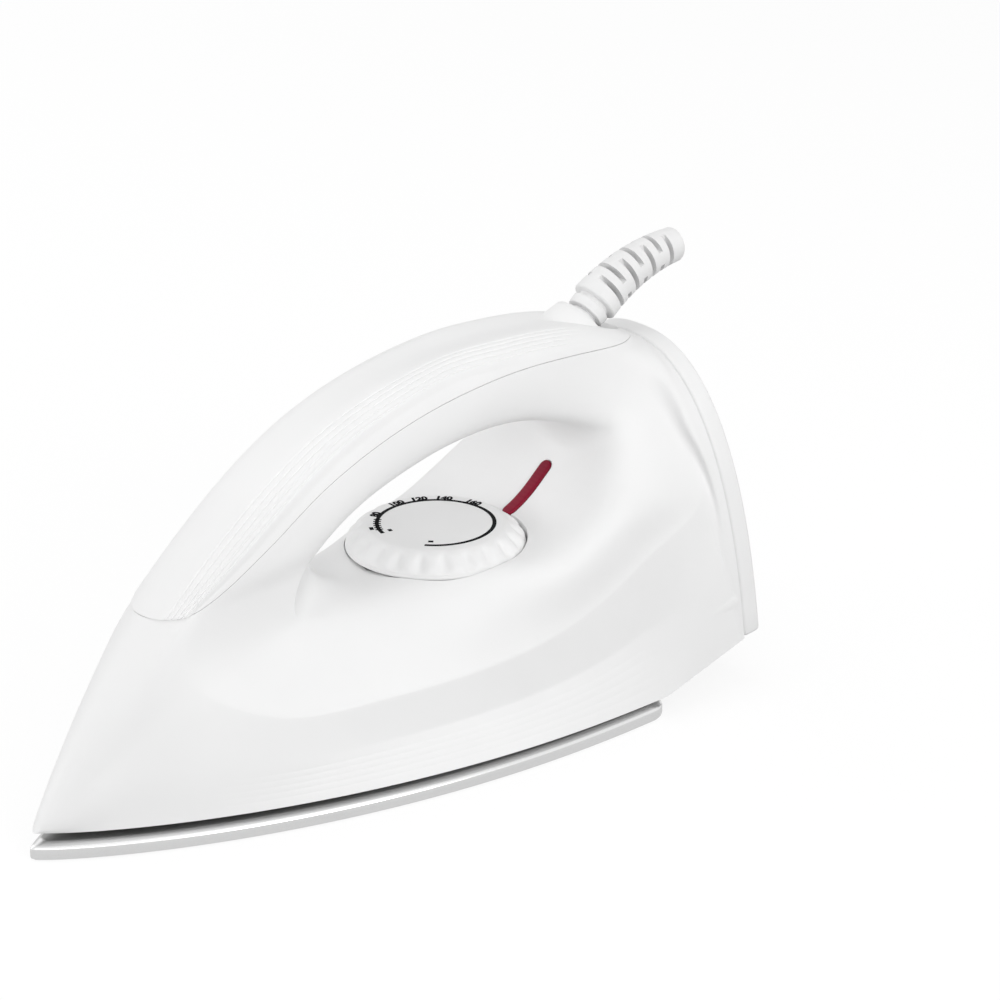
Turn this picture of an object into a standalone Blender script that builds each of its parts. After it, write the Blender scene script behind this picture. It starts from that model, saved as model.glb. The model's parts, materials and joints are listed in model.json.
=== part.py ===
"""Waxing iron: cast soleplate, moulded housing with a handle loop, heat dial and swivelling cord guard.

Places are written as u, y, z in millimetres: u runs back from the nose tip of the soleplate, y to the left
and z up from the ironing face. place() turns them into metres, with the nose towards +X and the origin
under the middle of the iron.
"""
import math

import bmesh
import bpy
import numpy as np
from mathutils import Matrix, Vector

MM = 0.001
GAP = 0.3
THROUGH = 60.0

# Overall sizes
SOLE_LENGTH = 200.0
SOLE_WIDTH = 94.0
OVERALL_LENGTH = 237.0
HANDLE_TOP = 118.2
CENTRE_U = OVERALL_LENGTH / 2

# Soleplate
SOLE_EDGE = 5.5
SOLE_WIDEST = 0.82
SOLE_NOSE_POWER = 0.85
SOLE_REAR_BOW = 3.0
SOLE_CORNER = 7.0
CASTING_INSET = 7.0
CASTING_TOP = 12.0

# Housing
SKIRT_SETBACK = 1.5
SKIRT_NOSE_Z = 8.3
SKIRT_FALL = 0.0075
SPINE_CREST_U = 150.5
HOLE_CENTRE = (145.0, 60.0)
OVERHANG_U = 196.0
HEEL_U = 230.0
HEEL_Z = 15.0
HEEL_TOP_Z = 107.0
HEEL_HALF_WIDTH = 43.0
HEEL_LEAN = math.radians(8.0)
HEEL_THICKNESS = 6.7
WALL = 2.5
HOUSING_STEPS = 4
INSIDE_STEPS = 2
SPAN_STEPS = 3

# Dial, lens and guard
DIAL_U = 143.0
DIAL_RADIUS = 26.5
DIAL_BOTTOM = 56.2
DIAL_TOP = 63.2
DIAL_FLUTES = 22
DIAL_SEAT_Z = 55.6
DIAL_SEAT_FLOOR_Z = 51.5
DIAL_SEAT_RADIUS = 30.0
LENS_WIDTH = 5.0
BALL_U = 196.3
BALL_Z = 112.3
BALL_RADIUS = 6.6
GUARD_TILT = math.radians(38.0)
GUARD_STRAIGHT = 9.0
GUARD_DROOP = math.radians(0.95)
GUARD_LENGTH = 45.0
GUARD_BORE = 2.9
GUARD_SLOT_FIRST = 15.0
GUARD_SLOT_PITCH = 4.0
GUARD_SLOT_LEVELS = 7
GUARD_SLOT_WIDTH = 1.7
GUARD_WEB = 2.1
NECK_END = 3.2

# Fixings of the housing on the casting (u, y, height of the casting's boss): one in front, two behind
FIXINGS = ((121.0, 0.0, 15.0), (184.0, 27.0, 20.0), (184.0, -27.0, 20.0))
SHIELD_Z = 16.0
SHIELD_STUDS = ((84.0, 0.0), (110.0, 12.0), (110.0, -12.0), (160.0, 18.5), (160.0, -18.5))
ELEMENT_RADIUS = 3.4
ELEMENT_LEG = 30.0
ELEMENT_END_U = 166.0
LEAD_RADIUS = 1.1
CLAMP_Z = 84.0
LUG_END_Y = 40.5
SHELF_END_Y = 41.0
CLAMP_SCREW_Y = (-8.0, 8.0)
HEEL_SCREWS = ((0.0, 100.5), (37.5, 28.0), (-37.5, 28.0))
RATING_SIZE = (22.0, 48.0, 0.8)

# Each guide rib runs from the hand hole over the edge and the crease to the rim of the half shell:
# hole (u, z), edge (u, y, z), crease (u, y, z), then the crown's bulge, its lift and how soft the crease is
GUIDE_RIBS = (
    ((97.0, 61.0), (82.0, 15.0, 55.0), (45.0, 16.5, 47.0), 2.0, 0.65, 0.6),
    ((95.5, 68.0), (83.0, 14.5, 66.0), (50.0, 13.5, 63.5), 3.0, 0.65, 0.9),
    ((103.0, 78.0), (92.0, 15.5, 76.5), (74.0, 15.5, 77.5), 4.2, 0.65, 1.0),
    ((119.0, 86.5), (110.0, 16.0, 87.0), (103.0, 16.5, 95.8), 4.5, 0.65, 1.0),
    ((141.0, 91.0), (138.0, 16.0, 95.0), (137.0, 16.5, 107.2), 4.5, 0.65, 1.0),
    ((165.0, 91.5), (165.0, 16.0, 96.0), (170.0, 16.5, 110.8), 4.5, 0.65, 1.0),
    ((184.0, 87.0), (190.0, 19.0, 89.0), (200.0, 17.0, 105.0), 4.0, 0.65, 1.0),
    ((190.0, 77.0), (193.0, 25.0, 82.0), (212.0, 28.0, 84.0), 2.0, 0.3, 0.7),
    ((182.0, 67.0), (183.5, 28.0, 77.0), (216.0, 37.0, 64.0), 1.0, 0.0, 0.2),
    ((171.0, 59.5), (172.0, 28.5, 71.0), (192.0, 40.5, 52.5), -1.5, 0.0, 0.0),
    ((156.0, 56.0), (156.5, 28.5, 62.5), (166.0, 40.5, 40.0), -2.5, 0.0, 0.0),
    ((140.0, 55.0), (139.0, 28.0, 57.0), (138.0, 39.0, 34.0), -2.6, 0.0, 0.0),
    ((122.0, 55.0), (118.0, 25.0, 55.0), (103.0, 35.0, 32.5), -1.5, 0.0, 0.0),
    ((106.0, 56.5), (97.0, 20.0, 53.5), (68.0, 26.5, 33.0), 0.5, 0.2, 0.0),
)
# How far a rib sinks inwards below its crease before its crown is a crisp line along the skirt
SKIRT_FOLD = 2.0
SPINE_RIMS = (SKIRT_SETBACK, 22.0, 57.0, 100.0, 137.0, 172.0)
SKIRT_RIMS = (HEEL_U, OVERHANG_U, 172.0, 138.0, 98.0, 50.0, SKIRT_SETBACK)
HEEL_TOP_RIB = len(SPINE_RIMS)
HEEL_CORNER_RIB = HEEL_TOP_RIB + 2

# The cap's seam in the side view, from in front of the nose to behind the heel
SEAM = ((18.0, 62.5), (40.0, 61.5), (54.0, 65.2), (72.0, 76.0), (93.0, 90.4), (115.0, 100.8), (140.0, 107.6),
        (168.0, 110.6), (205.0, 109.3), (245.0, 106.0))

parts = bpy.data.collections.new("waxing_iron")
cutters = bpy.data.collections.new("cutters")


def place(u, y, z):
    """Turn a place on the iron into scene metres."""
    return Vector(((CENTRE_U - u) * MM, y * MM, z * MM))


def clear_scene():
    """Remove what the scene holds and link the two collections."""
    for item in list(bpy.data.objects):
        bpy.data.objects.remove(item, do_unlink=True)
    bpy.context.scene.collection.children.link(parts)
    bpy.context.scene.collection.children.link(cutters)


def finish(name, colour, roughness, metallic=0.0):
    """Make a plain Principled material."""
    material = bpy.data.materials.new(name)
    material.use_nodes = True
    shader = material.node_tree.nodes["Principled BSDF"]
    shader.inputs["Base Color"].default_value = (*colour, 1.0)
    shader.inputs["Roughness"].default_value = roughness
    shader.inputs["Metallic"].default_value = metallic
    return material


WHITE = finish("white_plastic", (0.86, 0.86, 0.86), 0.35)
DIAL_WHITE = finish("dial_plastic", (0.82, 0.82, 0.82), 0.4)
GUARD_WHITE = finish("guard_rubber", (0.84, 0.84, 0.84), 0.6)
RED = finish("red_lens", (0.33, 0.02, 0.045), 0.2)
POLISHED = finish("polished_aluminium", (0.8, 0.8, 0.8), 0.18, 1.0)
PLATE_GREY = finish("plate_grey", (0.62, 0.62, 0.62), 0.5)
STEEL = finish("steel", (0.56, 0.57, 0.58), 0.35, 1.0)
BRASS = finish("brass", (0.72, 0.55, 0.25), 0.3, 1.0)
CERAMIC = finish("ceramic", (0.78, 0.75, 0.68), 0.6)
BLACK = finish("black_plastic", (0.03, 0.03, 0.03), 0.5)
GLASS = finish("lamp_glass", (0.9, 0.55, 0.35), 0.1)
LEAD_BROWN = finish("brown_lead", (0.16, 0.07, 0.03), 0.5)
LEAD_BLUE = finish("blue_lead", (0.05, 0.12, 0.4), 0.5)
LEAD_GREEN = finish("green_lead", (0.1, 0.3, 0.08), 0.5)


def new_object(name, mesh, material=None):
    """Link a mesh as a part, or as a cutter where it has no material."""
    item = bpy.data.objects.new(name, mesh)
    if material is None:
        cutters.objects.link(item)
        item.hide_render = True
        item.display_type = "WIRE"
    else:
        parts.objects.link(item)
        mesh.materials.append(material)
        mesh.shade_smooth()
        mesh.set_sharp_from_angle(angle=math.radians(32))
    return item


def mesh_from(name, build):
    """Run a function on a fresh bmesh and keep the result as a mesh."""
    mesh = bpy.data.meshes.new(name)
    work = bmesh.new()
    build(work)
    work.to_mesh(mesh)
    work.free()
    return mesh


def box(name, low, high, material=None):
    """Make a box between two corners."""
    first = place(*low)
    second = place(*high)
    size = Vector(abs(b - a) for a, b in zip(first, second))
    matrix = Matrix.Translation((first + second) / 2) @ Matrix.Diagonal((*size, 1.0))
    mesh = mesh_from(name, lambda work: bmesh.ops.create_cube(work, size=1.0, matrix=matrix))
    return new_object(name, mesh, material)


def rod(name, start, end, radius, material=None, end_radius=None, sides=24):
    """Make a cylinder, or a cone where the end radius differs, between two places."""
    first = place(*start)
    second = place(*end)
    axis = second - first
    turn = axis.to_track_quat("Z", "Y").to_matrix().to_4x4()
    matrix = Matrix.Translation((first + second) / 2) @ turn
    last = radius if end_radius is None else end_radius
    mesh = mesh_from(name, lambda work: bmesh.ops.create_cone(
        work, cap_ends=True, segments=sides, radius1=radius * MM, radius2=last * MM, depth=axis.length,
        matrix=matrix))
    return new_object(name, mesh, material)


def ball(name, centre, radius):
    """Make a sphere cutter."""
    matrix = Matrix.Translation(place(*centre))
    mesh = mesh_from(name, lambda work: bmesh.ops.create_uvsphere(
        work, u_segments=16, v_segments=10, radius=radius * MM, matrix=matrix))
    return new_object(name, mesh)


def curve_to_object(name, curve, matrix, material):
    """Turn a curve into a welded mesh object with its place in the mesh."""
    guide = bpy.data.objects.new(name + "_guide", curve)
    cutters.objects.link(guide)
    guide.matrix_world = matrix
    bpy.context.view_layer.update()
    mesh = bpy.data.meshes.new_from_object(guide.evaluated_get(bpy.context.evaluated_depsgraph_get()))
    mesh.transform(matrix)
    bpy.data.objects.remove(guide, do_unlink=True)
    work = bmesh.new()
    work.from_mesh(mesh)
    bmesh.ops.remove_doubles(work, verts=work.verts, dist=0.00001)
    bmesh.ops.recalc_face_normals(work, faces=work.faces)
    work.to_mesh(mesh)
    work.free()
    mesh.name = name
    mesh.materials.clear()
    return new_object(name, mesh, material)


def outline_curve(name, points, thickness):
    """Make a filled closed 2D curve with a thickness either side of its plane."""
    curve = bpy.data.curves.new(name, "CURVE")
    curve.dimensions = "2D"
    curve.fill_mode = "BOTH"
    curve.extrude = thickness / 2 * MM
    spline = curve.splines.new("POLY")
    spline.points.add(len(points) - 1)
    for point, (across, along) in zip(spline.points, points):
        point.co = (across, along, 0.0, 1.0)
    spline.use_cyclic_u = True
    return curve


def plan_plate(name, outline, low_z, high_z, material=None):
    """Extrude a plan outline of (u, y) points from one height to another."""
    points = [place(u, y, 0.0)[:2] for u, y in outline]
    curve = outline_curve(name, points, high_z - low_z)
    matrix = Matrix.Translation((0.0, 0.0, (low_z + high_z) / 2 * MM))
    return curve_to_object(name, curve, matrix, material)


def side_plate(name, outline, half_width, material=None):
    """Extrude a side outline of (u, z) points to both sides of the centre plane."""
    points = [(place(u, 0.0, z).x, place(u, 0.0, z).z) for u, z in outline]
    curve = outline_curve(name, points, 2 * half_width)
    return curve_to_object(name, curve, Matrix.Rotation(math.pi / 2, 4, "X"), material)


def tube(name, route, radius, material=None, roundness=2):
    """Sweep a round section along a smooth route of places."""
    curve = bpy.data.curves.new(name, "CURVE")
    curve.dimensions = "3D"
    curve.bevel_depth = radius * MM
    curve.bevel_resolution = roundness
    curve.use_fill_caps = True
    spline = curve.splines.new("POLY")
    spline.points.add(len(route) - 1)
    for point, spot in zip(spline.points, route):
        point.co = (*place(*spot), 1.0)
    return curve_to_object(name, curve, Matrix.Identity(4), material)


def turned(name, profile, material, steps=28, hollow=False):
    """Turn a profile of (radius, height) points, top to bottom, about the object's own Z axis."""
    def build(work):
        corners = [work.verts.new((radius * MM, 0.0, height * MM)) for radius, height in profile]
        last = corners[1:] + corners[:1] if hollow else corners[1:]
        for first, second in zip(corners, last):
            work.edges.new((first, second))
    item = new_object(name, mesh_from(name, build), material)
    screw_turn = item.modifiers.new("turn", "SCREW")
    screw_turn.steps = steps
    screw_turn.render_steps = steps
    screw_turn.use_merge_vertices = True
    screw_turn.merge_threshold = 0.00001
    return item


def loft(name, rings, material=None):
    """Skin a row of rings with the same number of places each, and close both ends."""
    def build(work):
        loops = [[work.verts.new(place(*spot)) for spot in ring] for ring in rings]
        for lower, upper in zip(loops, loops[1:]):
            after = zip(lower, lower[1:] + lower[:1], upper[1:] + upper[:1], upper)
            for corners in after:
                work.faces.new(corners)
        work.faces.new(loops[0])
        work.faces.new(loops[-1])
        bmesh.ops.recalc_face_normals(work, faces=work.faces)
    return new_object(name, mesh_from(name, build), material)


def combine(item, tool, operation, solver="EXACT"):
    """Add a Boolean modifier."""
    modifier = item.modifiers.new(tool.name, "BOOLEAN")
    modifier.operation = operation
    modifier.solver = solver
    modifier.object = tool


def cut(item, *tools, solver="EXACT"):
    """Take each tool away from the item."""
    for tool in tools:
        combine(item, tool, "DIFFERENCE", solver)


def join(item, *tools):
    """Fuse each tool with the item."""
    for tool in tools:
        combine(item, tool, "UNION")


def round_edges(item, width, segments=2):
    """Round the sharp edges of an item."""
    bevel = item.modifiers.new("round", "BEVEL")
    bevel.width = width * MM
    bevel.segments = segments
    bevel.limit_method = "ANGLE"
    bevel.angle_limit = math.radians(40)


def half_width(u):
    """Half the width of the soleplate at a distance behind its nose."""
    along = max(u, 0.0) / SOLE_LENGTH
    if along < SOLE_WIDEST:
        return SOLE_WIDTH / 2 * (1 - (1 - along / SOLE_WIDEST) ** 2) ** SOLE_NOSE_POWER
    return SOLE_WIDTH / 2 * (1 - (along - SOLE_WIDEST) ** 2)


def sole_outline(inset, steps=18):
    """Closed plan outline of the soleplate, drawn in by an inset, with round rear corners and a bowed tail."""
    front = 2.2 * inset
    corner_u = SOLE_LENGTH - SOLE_REAR_BOW - SOLE_CORNER
    side = []
    for step in range(steps + 1):
        u = front + (corner_u - inset - front) * (step / steps) ** 1.6
        side.append((u, max(half_width(u - front * 0.15) - inset, 0.0) if step else 0.0))
    last_y = side[-1][1]
    for step in range(1, 5):
        turn = step / 5 * math.pi / 2
        side.append((side[steps][0] + SOLE_CORNER * math.sin(turn), last_y - SOLE_CORNER * (1 - math.cos(turn))))
    tail_u = side[steps][0] + SOLE_CORNER
    tail_y = last_y - SOLE_CORNER
    for step in range(5):
        across = 1 - step / 5
        side.append((tail_u + SOLE_REAR_BOW * (1 - across ** 2), tail_y * across))
    mirrored = [(u, -y) for u, y in reversed(side[1:])]
    return side + [(tail_u + SOLE_REAR_BOW, 0.0)] + mirrored


def spine(u):
    """Height of the top centre line of the housing."""
    climb = min((u - SKIRT_SETBACK) / (SPINE_CREST_U - SKIRT_SETBACK), 1.0)
    height = SKIRT_NOSE_Z + (HANDLE_TOP - SKIRT_NOSE_Z) * (1 - (1 - climb) ** 2.4) ** 0.9
    fall = max(u - SPINE_CREST_U, 0.0) / (heel_u(HEEL_TOP_Z) - SPINE_CREST_U)
    return height - (HANDLE_TOP - HEEL_TOP_Z) * fall ** 3.6


def heel_u(z):
    """Where the leaning rear plane of the housing stands at a height."""
    return HEEL_U - (z - HEEL_Z) * math.tan(HEEL_LEAN)


def skirt_z(u):
    """Height of the lower edge: nearly level along the soleplate, then up to the heel's lower edge."""
    level = SKIRT_NOSE_Z - SKIRT_FALL * min(u, OVERHANG_U)
    rise = max(u - OVERHANG_U, 0.0) / (HEEL_U - OVERHANG_U)
    return level + (HEEL_Z - level) * rise


def skirt_y(u):
    """Half width of the lower edge, just inside the soleplate and narrowing along the overhang."""
    tail = max(u - OVERHANG_U, 0.0) / (HEEL_U - OVERHANG_U)
    side = half_width(min(u, OVERHANG_U) - SKIRT_SETBACK) - 0.3
    return max(side + (HEEL_HALF_WIDTH - side) * tail, 0.0)


def heel_edge(turn):
    """Point of the heel outline, from the top centre at 0 to the lower corner at 1."""
    angle = turn * math.pi / 2
    z = HEEL_Z + (HEEL_TOP_Z - HEEL_Z) * max(math.cos(angle), 0.0) ** 0.8
    return np.array((heel_u(z), HEEL_HALF_WIDTH * math.sin(angle) ** 0.8, z))


def smooth_through(points, at, closed=False):
    """Catmull-Rom curve through evenly numbered points."""
    count = len(points)
    index = min(int(math.floor(at)), count - (1 if closed else 2))
    t = at - index

    def knot(number):
        if closed:
            return np.asarray(points[number % count], float)
        if number < 0:
            return 2 * np.asarray(points[0], float) - np.asarray(points[1], float)
        if number >= count:
            return 2 * np.asarray(points[-1], float) - np.asarray(points[-2], float)
        return np.asarray(points[number], float)

    before, first, second, after = (knot(index + offset) for offset in (-1, 0, 1, 2))
    bend = 2 * before - 5 * first + 4 * second - after
    swing = -before + 3 * first - 3 * second + after
    return 0.5 * (2 * first + (second - before) * t + bend * t ** 2 + swing * t ** 3)


def rim_point(at):
    """Rim of the half shell: up the spine, down the heel outline, then forward along the skirt."""
    if at <= HEEL_TOP_RIB:
        u = float(smooth_through(SPINE_RIMS + (heel_u(HEEL_TOP_Z),), at))
        return np.array((u, 0.0, spine(u)))
    if at < HEEL_CORNER_RIB:
        return heel_edge((at - HEEL_TOP_RIB) / (HEEL_CORNER_RIB - HEEL_TOP_RIB))
    u = float(smooth_through(SKIRT_RIMS, at - HEEL_CORNER_RIB))
    return np.array((u, skirt_y(u), skirt_z(u)))


def rib_knots(at):
    """Hole, edge, crease, crown and rim of the rib at a place, and how soft its crease and its crown are."""
    guides = [np.array((*hole, *edge, *crease, *shape)) for hole, edge, crease, *shape in GUIDE_RIBS]
    row = smooth_through(guides, at, closed=True)
    hole = np.array((row[0], 0.0, row[1]))
    edge, crease = row[2:5], row[5:8]
    bulge, lift, soft = row[8:]
    rim = rim_point(at)
    chord = rim - crease
    away = np.array((rim[0] - HOLE_CENTRE[0], 0.0, rim[2] - HOLE_CENTRE[1]))
    push = np.array((0.0, 1.0 - 0.38 * lift, 0.0)) + lift * away / np.linalg.norm(away)
    push -= chord * (push @ chord) / (chord @ chord)
    crown = (crease + rim) / 2 + bulge * push / np.linalg.norm(push)
    fold = min(max(-bulge / SKIRT_FOLD, 0.0), 1.0)
    return hole, edge, crease, crown, rim, min(max(soft, 0.0), 1.0), 1.0 - fold


def rib_points(at):
    """Points along one rib, from the hand hole to the rim."""
    hole, edge, crease, crown, rim, soft, soft_crown = rib_knots(at)
    across = np.array((0.0, 1.0, 0.0))
    leave_hole = across * (edge - hole)[1] * 1.3
    at_edge = (crease - hole) / 2
    through = (crown - edge) / 2
    to_crease = soft * through + (1 - soft) * (crease - edge)
    from_crease = soft * through + (1 - soft) * (crown - crease)
    to_crown = soft_crown * (rim - crease) / 2 + (1 - soft_crown) * (crown - crease)
    from_crown = soft_crown * (rim - crease) / 2 + (1 - soft_crown) * (rim - crown)
    to_rim = across * (rim - crown)[1] * 1.2 if rim[1] < 0.01 else rim - crown
    spans = ((hole, edge, leave_hole, at_edge), (edge, crease, at_edge, to_crease),
             (crease, crown, from_crease, to_crown), (crown, rim, from_crown, to_rim))
    points = [hole]
    for start, end, leave, arrive in spans:
        for step in range(1, SPAN_STEPS + 1):
            t = step / SPAN_STEPS
            points.append((2 * t ** 3 - 3 * t ** 2 + 1) * start + (t ** 3 - 2 * t ** 2 + t) * leave
                          + (3 * t ** 2 - 2 * t ** 3) * end + (t ** 3 - t ** 2) * arrive)
    return points


def outer_grid():
    """Places on the outside of the half shell, rib by rib."""
    count = len(GUIDE_RIBS) * HOUSING_STEPS
    return np.array([rib_points(row / HOUSING_STEPS) for row in range(count)])


def inner_grid():
    """The outside moved in by the wall, running out through the heel's opening and down past the skirt."""
    outside = outer_grid()
    along = np.roll(outside, -1, axis=0) - np.roll(outside, 1, axis=0)
    inward = np.cross(along, np.gradient(outside, axis=1))
    on_centre = outside[..., 1] < 0.01
    inward[on_centre, 1] = 0.0
    inside = outside + WALL * inward / np.linalg.norm(inward, axis=2, keepdims=True)
    inside[..., 1] = np.maximum(inside[..., 1], 0.25 * outside[..., 1])
    top, corner, turn = (rib * HOUSING_STEPS for rib in (HEEL_TOP_RIB, HEEL_CORNER_RIB, HEEL_CORNER_RIB + 1))
    inside[top:corner + 1, -1, 0] += 3 * WALL
    crease = 2 * SPAN_STEPS
    for row in inside[top:corner + 1]:
        row[crease:] = np.linspace(row[crease], row[-1], 2 * SPAN_STEPS + 1)
    inside[corner:turn + 1, -1, 2] += WALL
    inside[turn + 1:, -1, 2] -= 2 * WALL
    inside[turn + HOUSING_STEPS // INSIDE_STEPS, -1, 0] = OVERHANG_U - WALL
    inside[0, -1, 2] -= 2 * WALL
    return inside[::HOUSING_STEPS // INSIDE_STEPS, ::2]


def half_form(name, grid, steps, material=None):
    """Closed form from a lofted half: its rear, the overhang's floor, the step and the main floor, mirrored."""
    top, corner, turn = (rib * steps for rib in (HEEL_TOP_RIB, HEEL_CORNER_RIB, HEEL_CORNER_RIB + 1))

    def build(work):
        rows = [[work.verts.new(place(*spot)) for spot in rib] for rib in grid]
        for row, after in zip(rows, rows[1:] + rows[:1]):
            for corners in zip(row, after, after[1:], row[1:]):
                work.faces.new(corners)
        rims = [row[-1] for row in rows]
        flat = Vector((1.0, 0.0, 1.0))
        heel, step, floor = (work.verts.new(rims[row].co * flat) for row in (corner, turn, turn + 1))
        work.faces.new(rims[top:corner + 1] + [heel])
        work.faces.new(rims[corner:turn + 1] + [step, heel])
        work.faces.new(rims[turn:turn + 2] + [floor, step])
        work.faces.new(rims[turn + 1:] + [rims[0], floor])

    item = new_object(name, mesh_from(name, build), material)
    mirror = item.modifiers.new("mirror", "MIRROR")
    mirror.use_axis = (False, True, False)
    mirror.merge_threshold = 0.00001
    return item


def seam_points(drop):
    """The seam in the side view, lowered by a drop."""
    spots = [smooth_through(SEAM, step / 4) for step in range(4 * (len(SEAM) - 1) + 1)]
    return [(spot[0], spot[1] - drop) for spot in spots]


def guard_axis(distance):
    """Place on the guard's centre line and its direction there: straight at first, then drooping."""
    straight = min(distance, GUARD_STRAIGHT)
    u = BALL_U + straight * math.cos(GUARD_TILT)
    z = BALL_Z + straight * math.sin(GUARD_TILT)
    angle = GUARD_TILT
    if distance > GUARD_STRAIGHT:
        angle = GUARD_TILT - (distance - GUARD_STRAIGHT) * GUARD_DROOP
        u += (math.sin(GUARD_TILT) - math.sin(angle)) / GUARD_DROOP
        z += (math.cos(angle) - math.cos(GUARD_TILT)) / GUARD_DROOP
    return u, z, angle


def guard_place(distance, out=0.0, side=0.0):
    """Place at a distance along the guard, out from its centre line to the upper side and to the left."""
    u, z, angle = guard_axis(distance)
    return u - out * math.sin(angle), side, z + out * math.cos(angle)


def guard_ring(distance, radius, sides=16):
    """Round section of the guard."""
    turns = [spot / sides * 2 * math.pi for spot in range(sides)]
    return [guard_place(distance, radius * math.cos(turn), radius * math.sin(turn)) for turn in turns]


def lens_band(out, deep, shorten=0.0):
    """Side outline of a strip that follows the ramp behind the dial."""
    spots = [rib_knots(at)[0] for at in np.linspace(9.12 - shorten, 7.52 + shorten, 11)]
    raised, sunk = [], []
    for number, spot in enumerate(spots):
        before = spots[max(number - 1, 0)]
        after = spots[min(number + 1, len(spots) - 1)]
        run = after - before
        normal = np.array((-run[2], 0.0, run[0])) / np.hypot(run[0], run[2])
        raised.append(tuple((spot + normal * out)[[0, 2]]))
        sunk.append(tuple((spot - normal * deep)[[0, 2]]))
    return raised + sunk[::-1]


def make_soleplate():
    """Polished plate with the casting, its bosses and the groove for the element."""
    plate = plan_plate("soleplate", sole_outline(0.0), 0.0, SOLE_EDGE, POLISHED)
    round_edges(plate, 1.2)
    casting = plan_plate("casting", sole_outline(CASTING_INSET), SOLE_EDGE - 2.0, CASTING_TOP)
    join(plate, casting)
    for spot in FIXINGS:
        join(plate, rod("boss", (*spot[:2], 8.0), (*spot[:2], spot[2]), 5.0, sides=16))
        cut(plate, rod("pilot_hole", (*spot[:2], 7.0), (*spot[:2], spot[2] + 5.0), 1.8, sides=12))
    for u, y in SHIELD_STUDS:
        join(plate, rod("stud", (u, y, 10.0), (u, y, SHIELD_Z - GAP), 3.0, sides=10))
    cut(plate, tube("element_groove", element_route(), ELEMENT_RADIUS + GAP))


def element_route():
    """U-shaped route of the element: up out of one leg, round the nose and up out of the other."""
    half = [(ELEMENT_END_U, ELEMENT_LEG, 21.0), (ELEMENT_END_U, ELEMENT_LEG, 16.0),
            (ELEMENT_END_U - 1.5, ELEMENT_LEG, 13.2), (ELEMENT_END_U - 5.0, ELEMENT_LEG, CASTING_TOP)]
    for step in range(9):
        turn = step / 9 * math.pi / 2
        half.append((146.0 - 92.0 * math.sin(turn), ELEMENT_LEG * math.cos(turn), CASTING_TOP))
    nose = [(54.0, 0.0, CASTING_TOP)]
    return half + nose + [(u, -y, z) for u, y, z in reversed(half)]


def make_heater():
    """Sheathed element, its two cold pins and the sheet-metal shield."""
    tube("heating_element", element_route(), ELEMENT_RADIUS, STEEL)
    for side, sign in (("left", 1), ("right", -1)):
        y = sign * ELEMENT_LEG
        root = (ELEMENT_END_U, y, 21.0 + GAP)
        rod("element_pin_" + side, root, (ELEMENT_END_U, y, 26.0), 1.6, STEEL, sides=12)
    outline = [(30.0 + u * 0.74, y * 0.78) for u, y in sole_outline(4.0, steps=16)]
    shield = plan_plate("heat_shield", outline, SHIELD_Z, SHIELD_Z + 0.8, STEEL)
    cut(shield, box("thermostat_window", (131.0, -13.0, 10.0), (THROUGH + 131.0, 13.0, 20.0)))
    cut(shield, rod("post_window", (FIXINGS[0][0], 0.0, 10.0), (FIXINGS[0][0], 0.0, 20.0), 7.0, sides=16))
    for sign in (1, -1):
        spot = (ELEMENT_END_U, sign * ELEMENT_LEG)
        cut(shield, rod("leg_window", (*spot, 10.0), (*spot, 20.0), 6.5, sides=16))
    fuse_y = -18.0
    fuse_z = SHIELD_Z + 0.8 + GAP + 2.6
    rod("thermal_fuse", (128.0, fuse_y, fuse_z), (150.0, fuse_y, fuse_z), 2.6, CERAMIC, sides=16)


def make_thermostat():
    """Blade stack on its base strip, with the bridge and bush that guide the dial's spindle."""
    stack_u = 168.0
    hole = ("stack_hole", (stack_u, 0.0, 5.0), (stack_u, 0.0, 40.0), 1.9)
    stack_hole = rod(*hole, sides=12)
    levels = (("thermostat_base", (133.0, -8.0), 175.0, 12.3, 13.3, STEEL),
              ("bimetal_blade", (139.0, -5.0), 174.0, 13.6, 14.4, BRASS),
              ("lower_contact_blade", (141.0, -3.5), 177.0, 17.8, 18.2, BRASS),
              ("upper_contact_blade", (141.0, -3.5), 180.0, 21.6, 22.0, BRASS))
    for name, (front, side), rear, low, high, material in levels:
        cut(box(name, (front, side, low), (rear, -side, high), material), stack_hole)
    for name, low, high in (("ceramic_spacer_lower", 14.7, 17.5), ("ceramic_spacer_middle", 18.5, 21.3),
                            ("ceramic_spacer_upper", 22.3, 24.2)):
        spacer = rod(name, (stack_u, 0.0, low), (stack_u, 0.0, high), 4.4, CERAMIC, sides=20)
        cut(spacer, stack_hole)
    rivet = rod("thermostat_rivet", (stack_u, 0.0, CASTING_TOP + GAP), (stack_u, 0.0, 25.5), 1.5, STEEL, sides=12)
    join(rivet, rod("rivet_head", (stack_u, 0.0, 24.5), (stack_u, 0.0, 26.0), 3.4, sides=16))
    bridge = [(135.5, 29.0), (150.5, 29.0), (150.5, 13.6), (135.5, 13.6)]
    frame = side_plate("thermostat_frame", bridge, 10.5, STEEL)
    cut(frame, box("frame_room", (130.0, -9.3, 10.0), (160.0, 9.3, 27.8)))
    bush_hole = rod("bush_hole", (DIAL_U, 0.0, 20.0), (DIAL_U, 0.0, 40.0), 4.3)
    cut(frame, bush_hole)
    profile = [(5.5, 32.5), (5.5, 29.3), (4.0, 29.3), (4.0, 26.0), (2.8, 26.0), (2.8, 32.5)]
    bush = turned("spindle_bush", profile, BRASS, steps=20, hollow=True)
    bush.location = place(DIAL_U, 0.0, 0.0)


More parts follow.
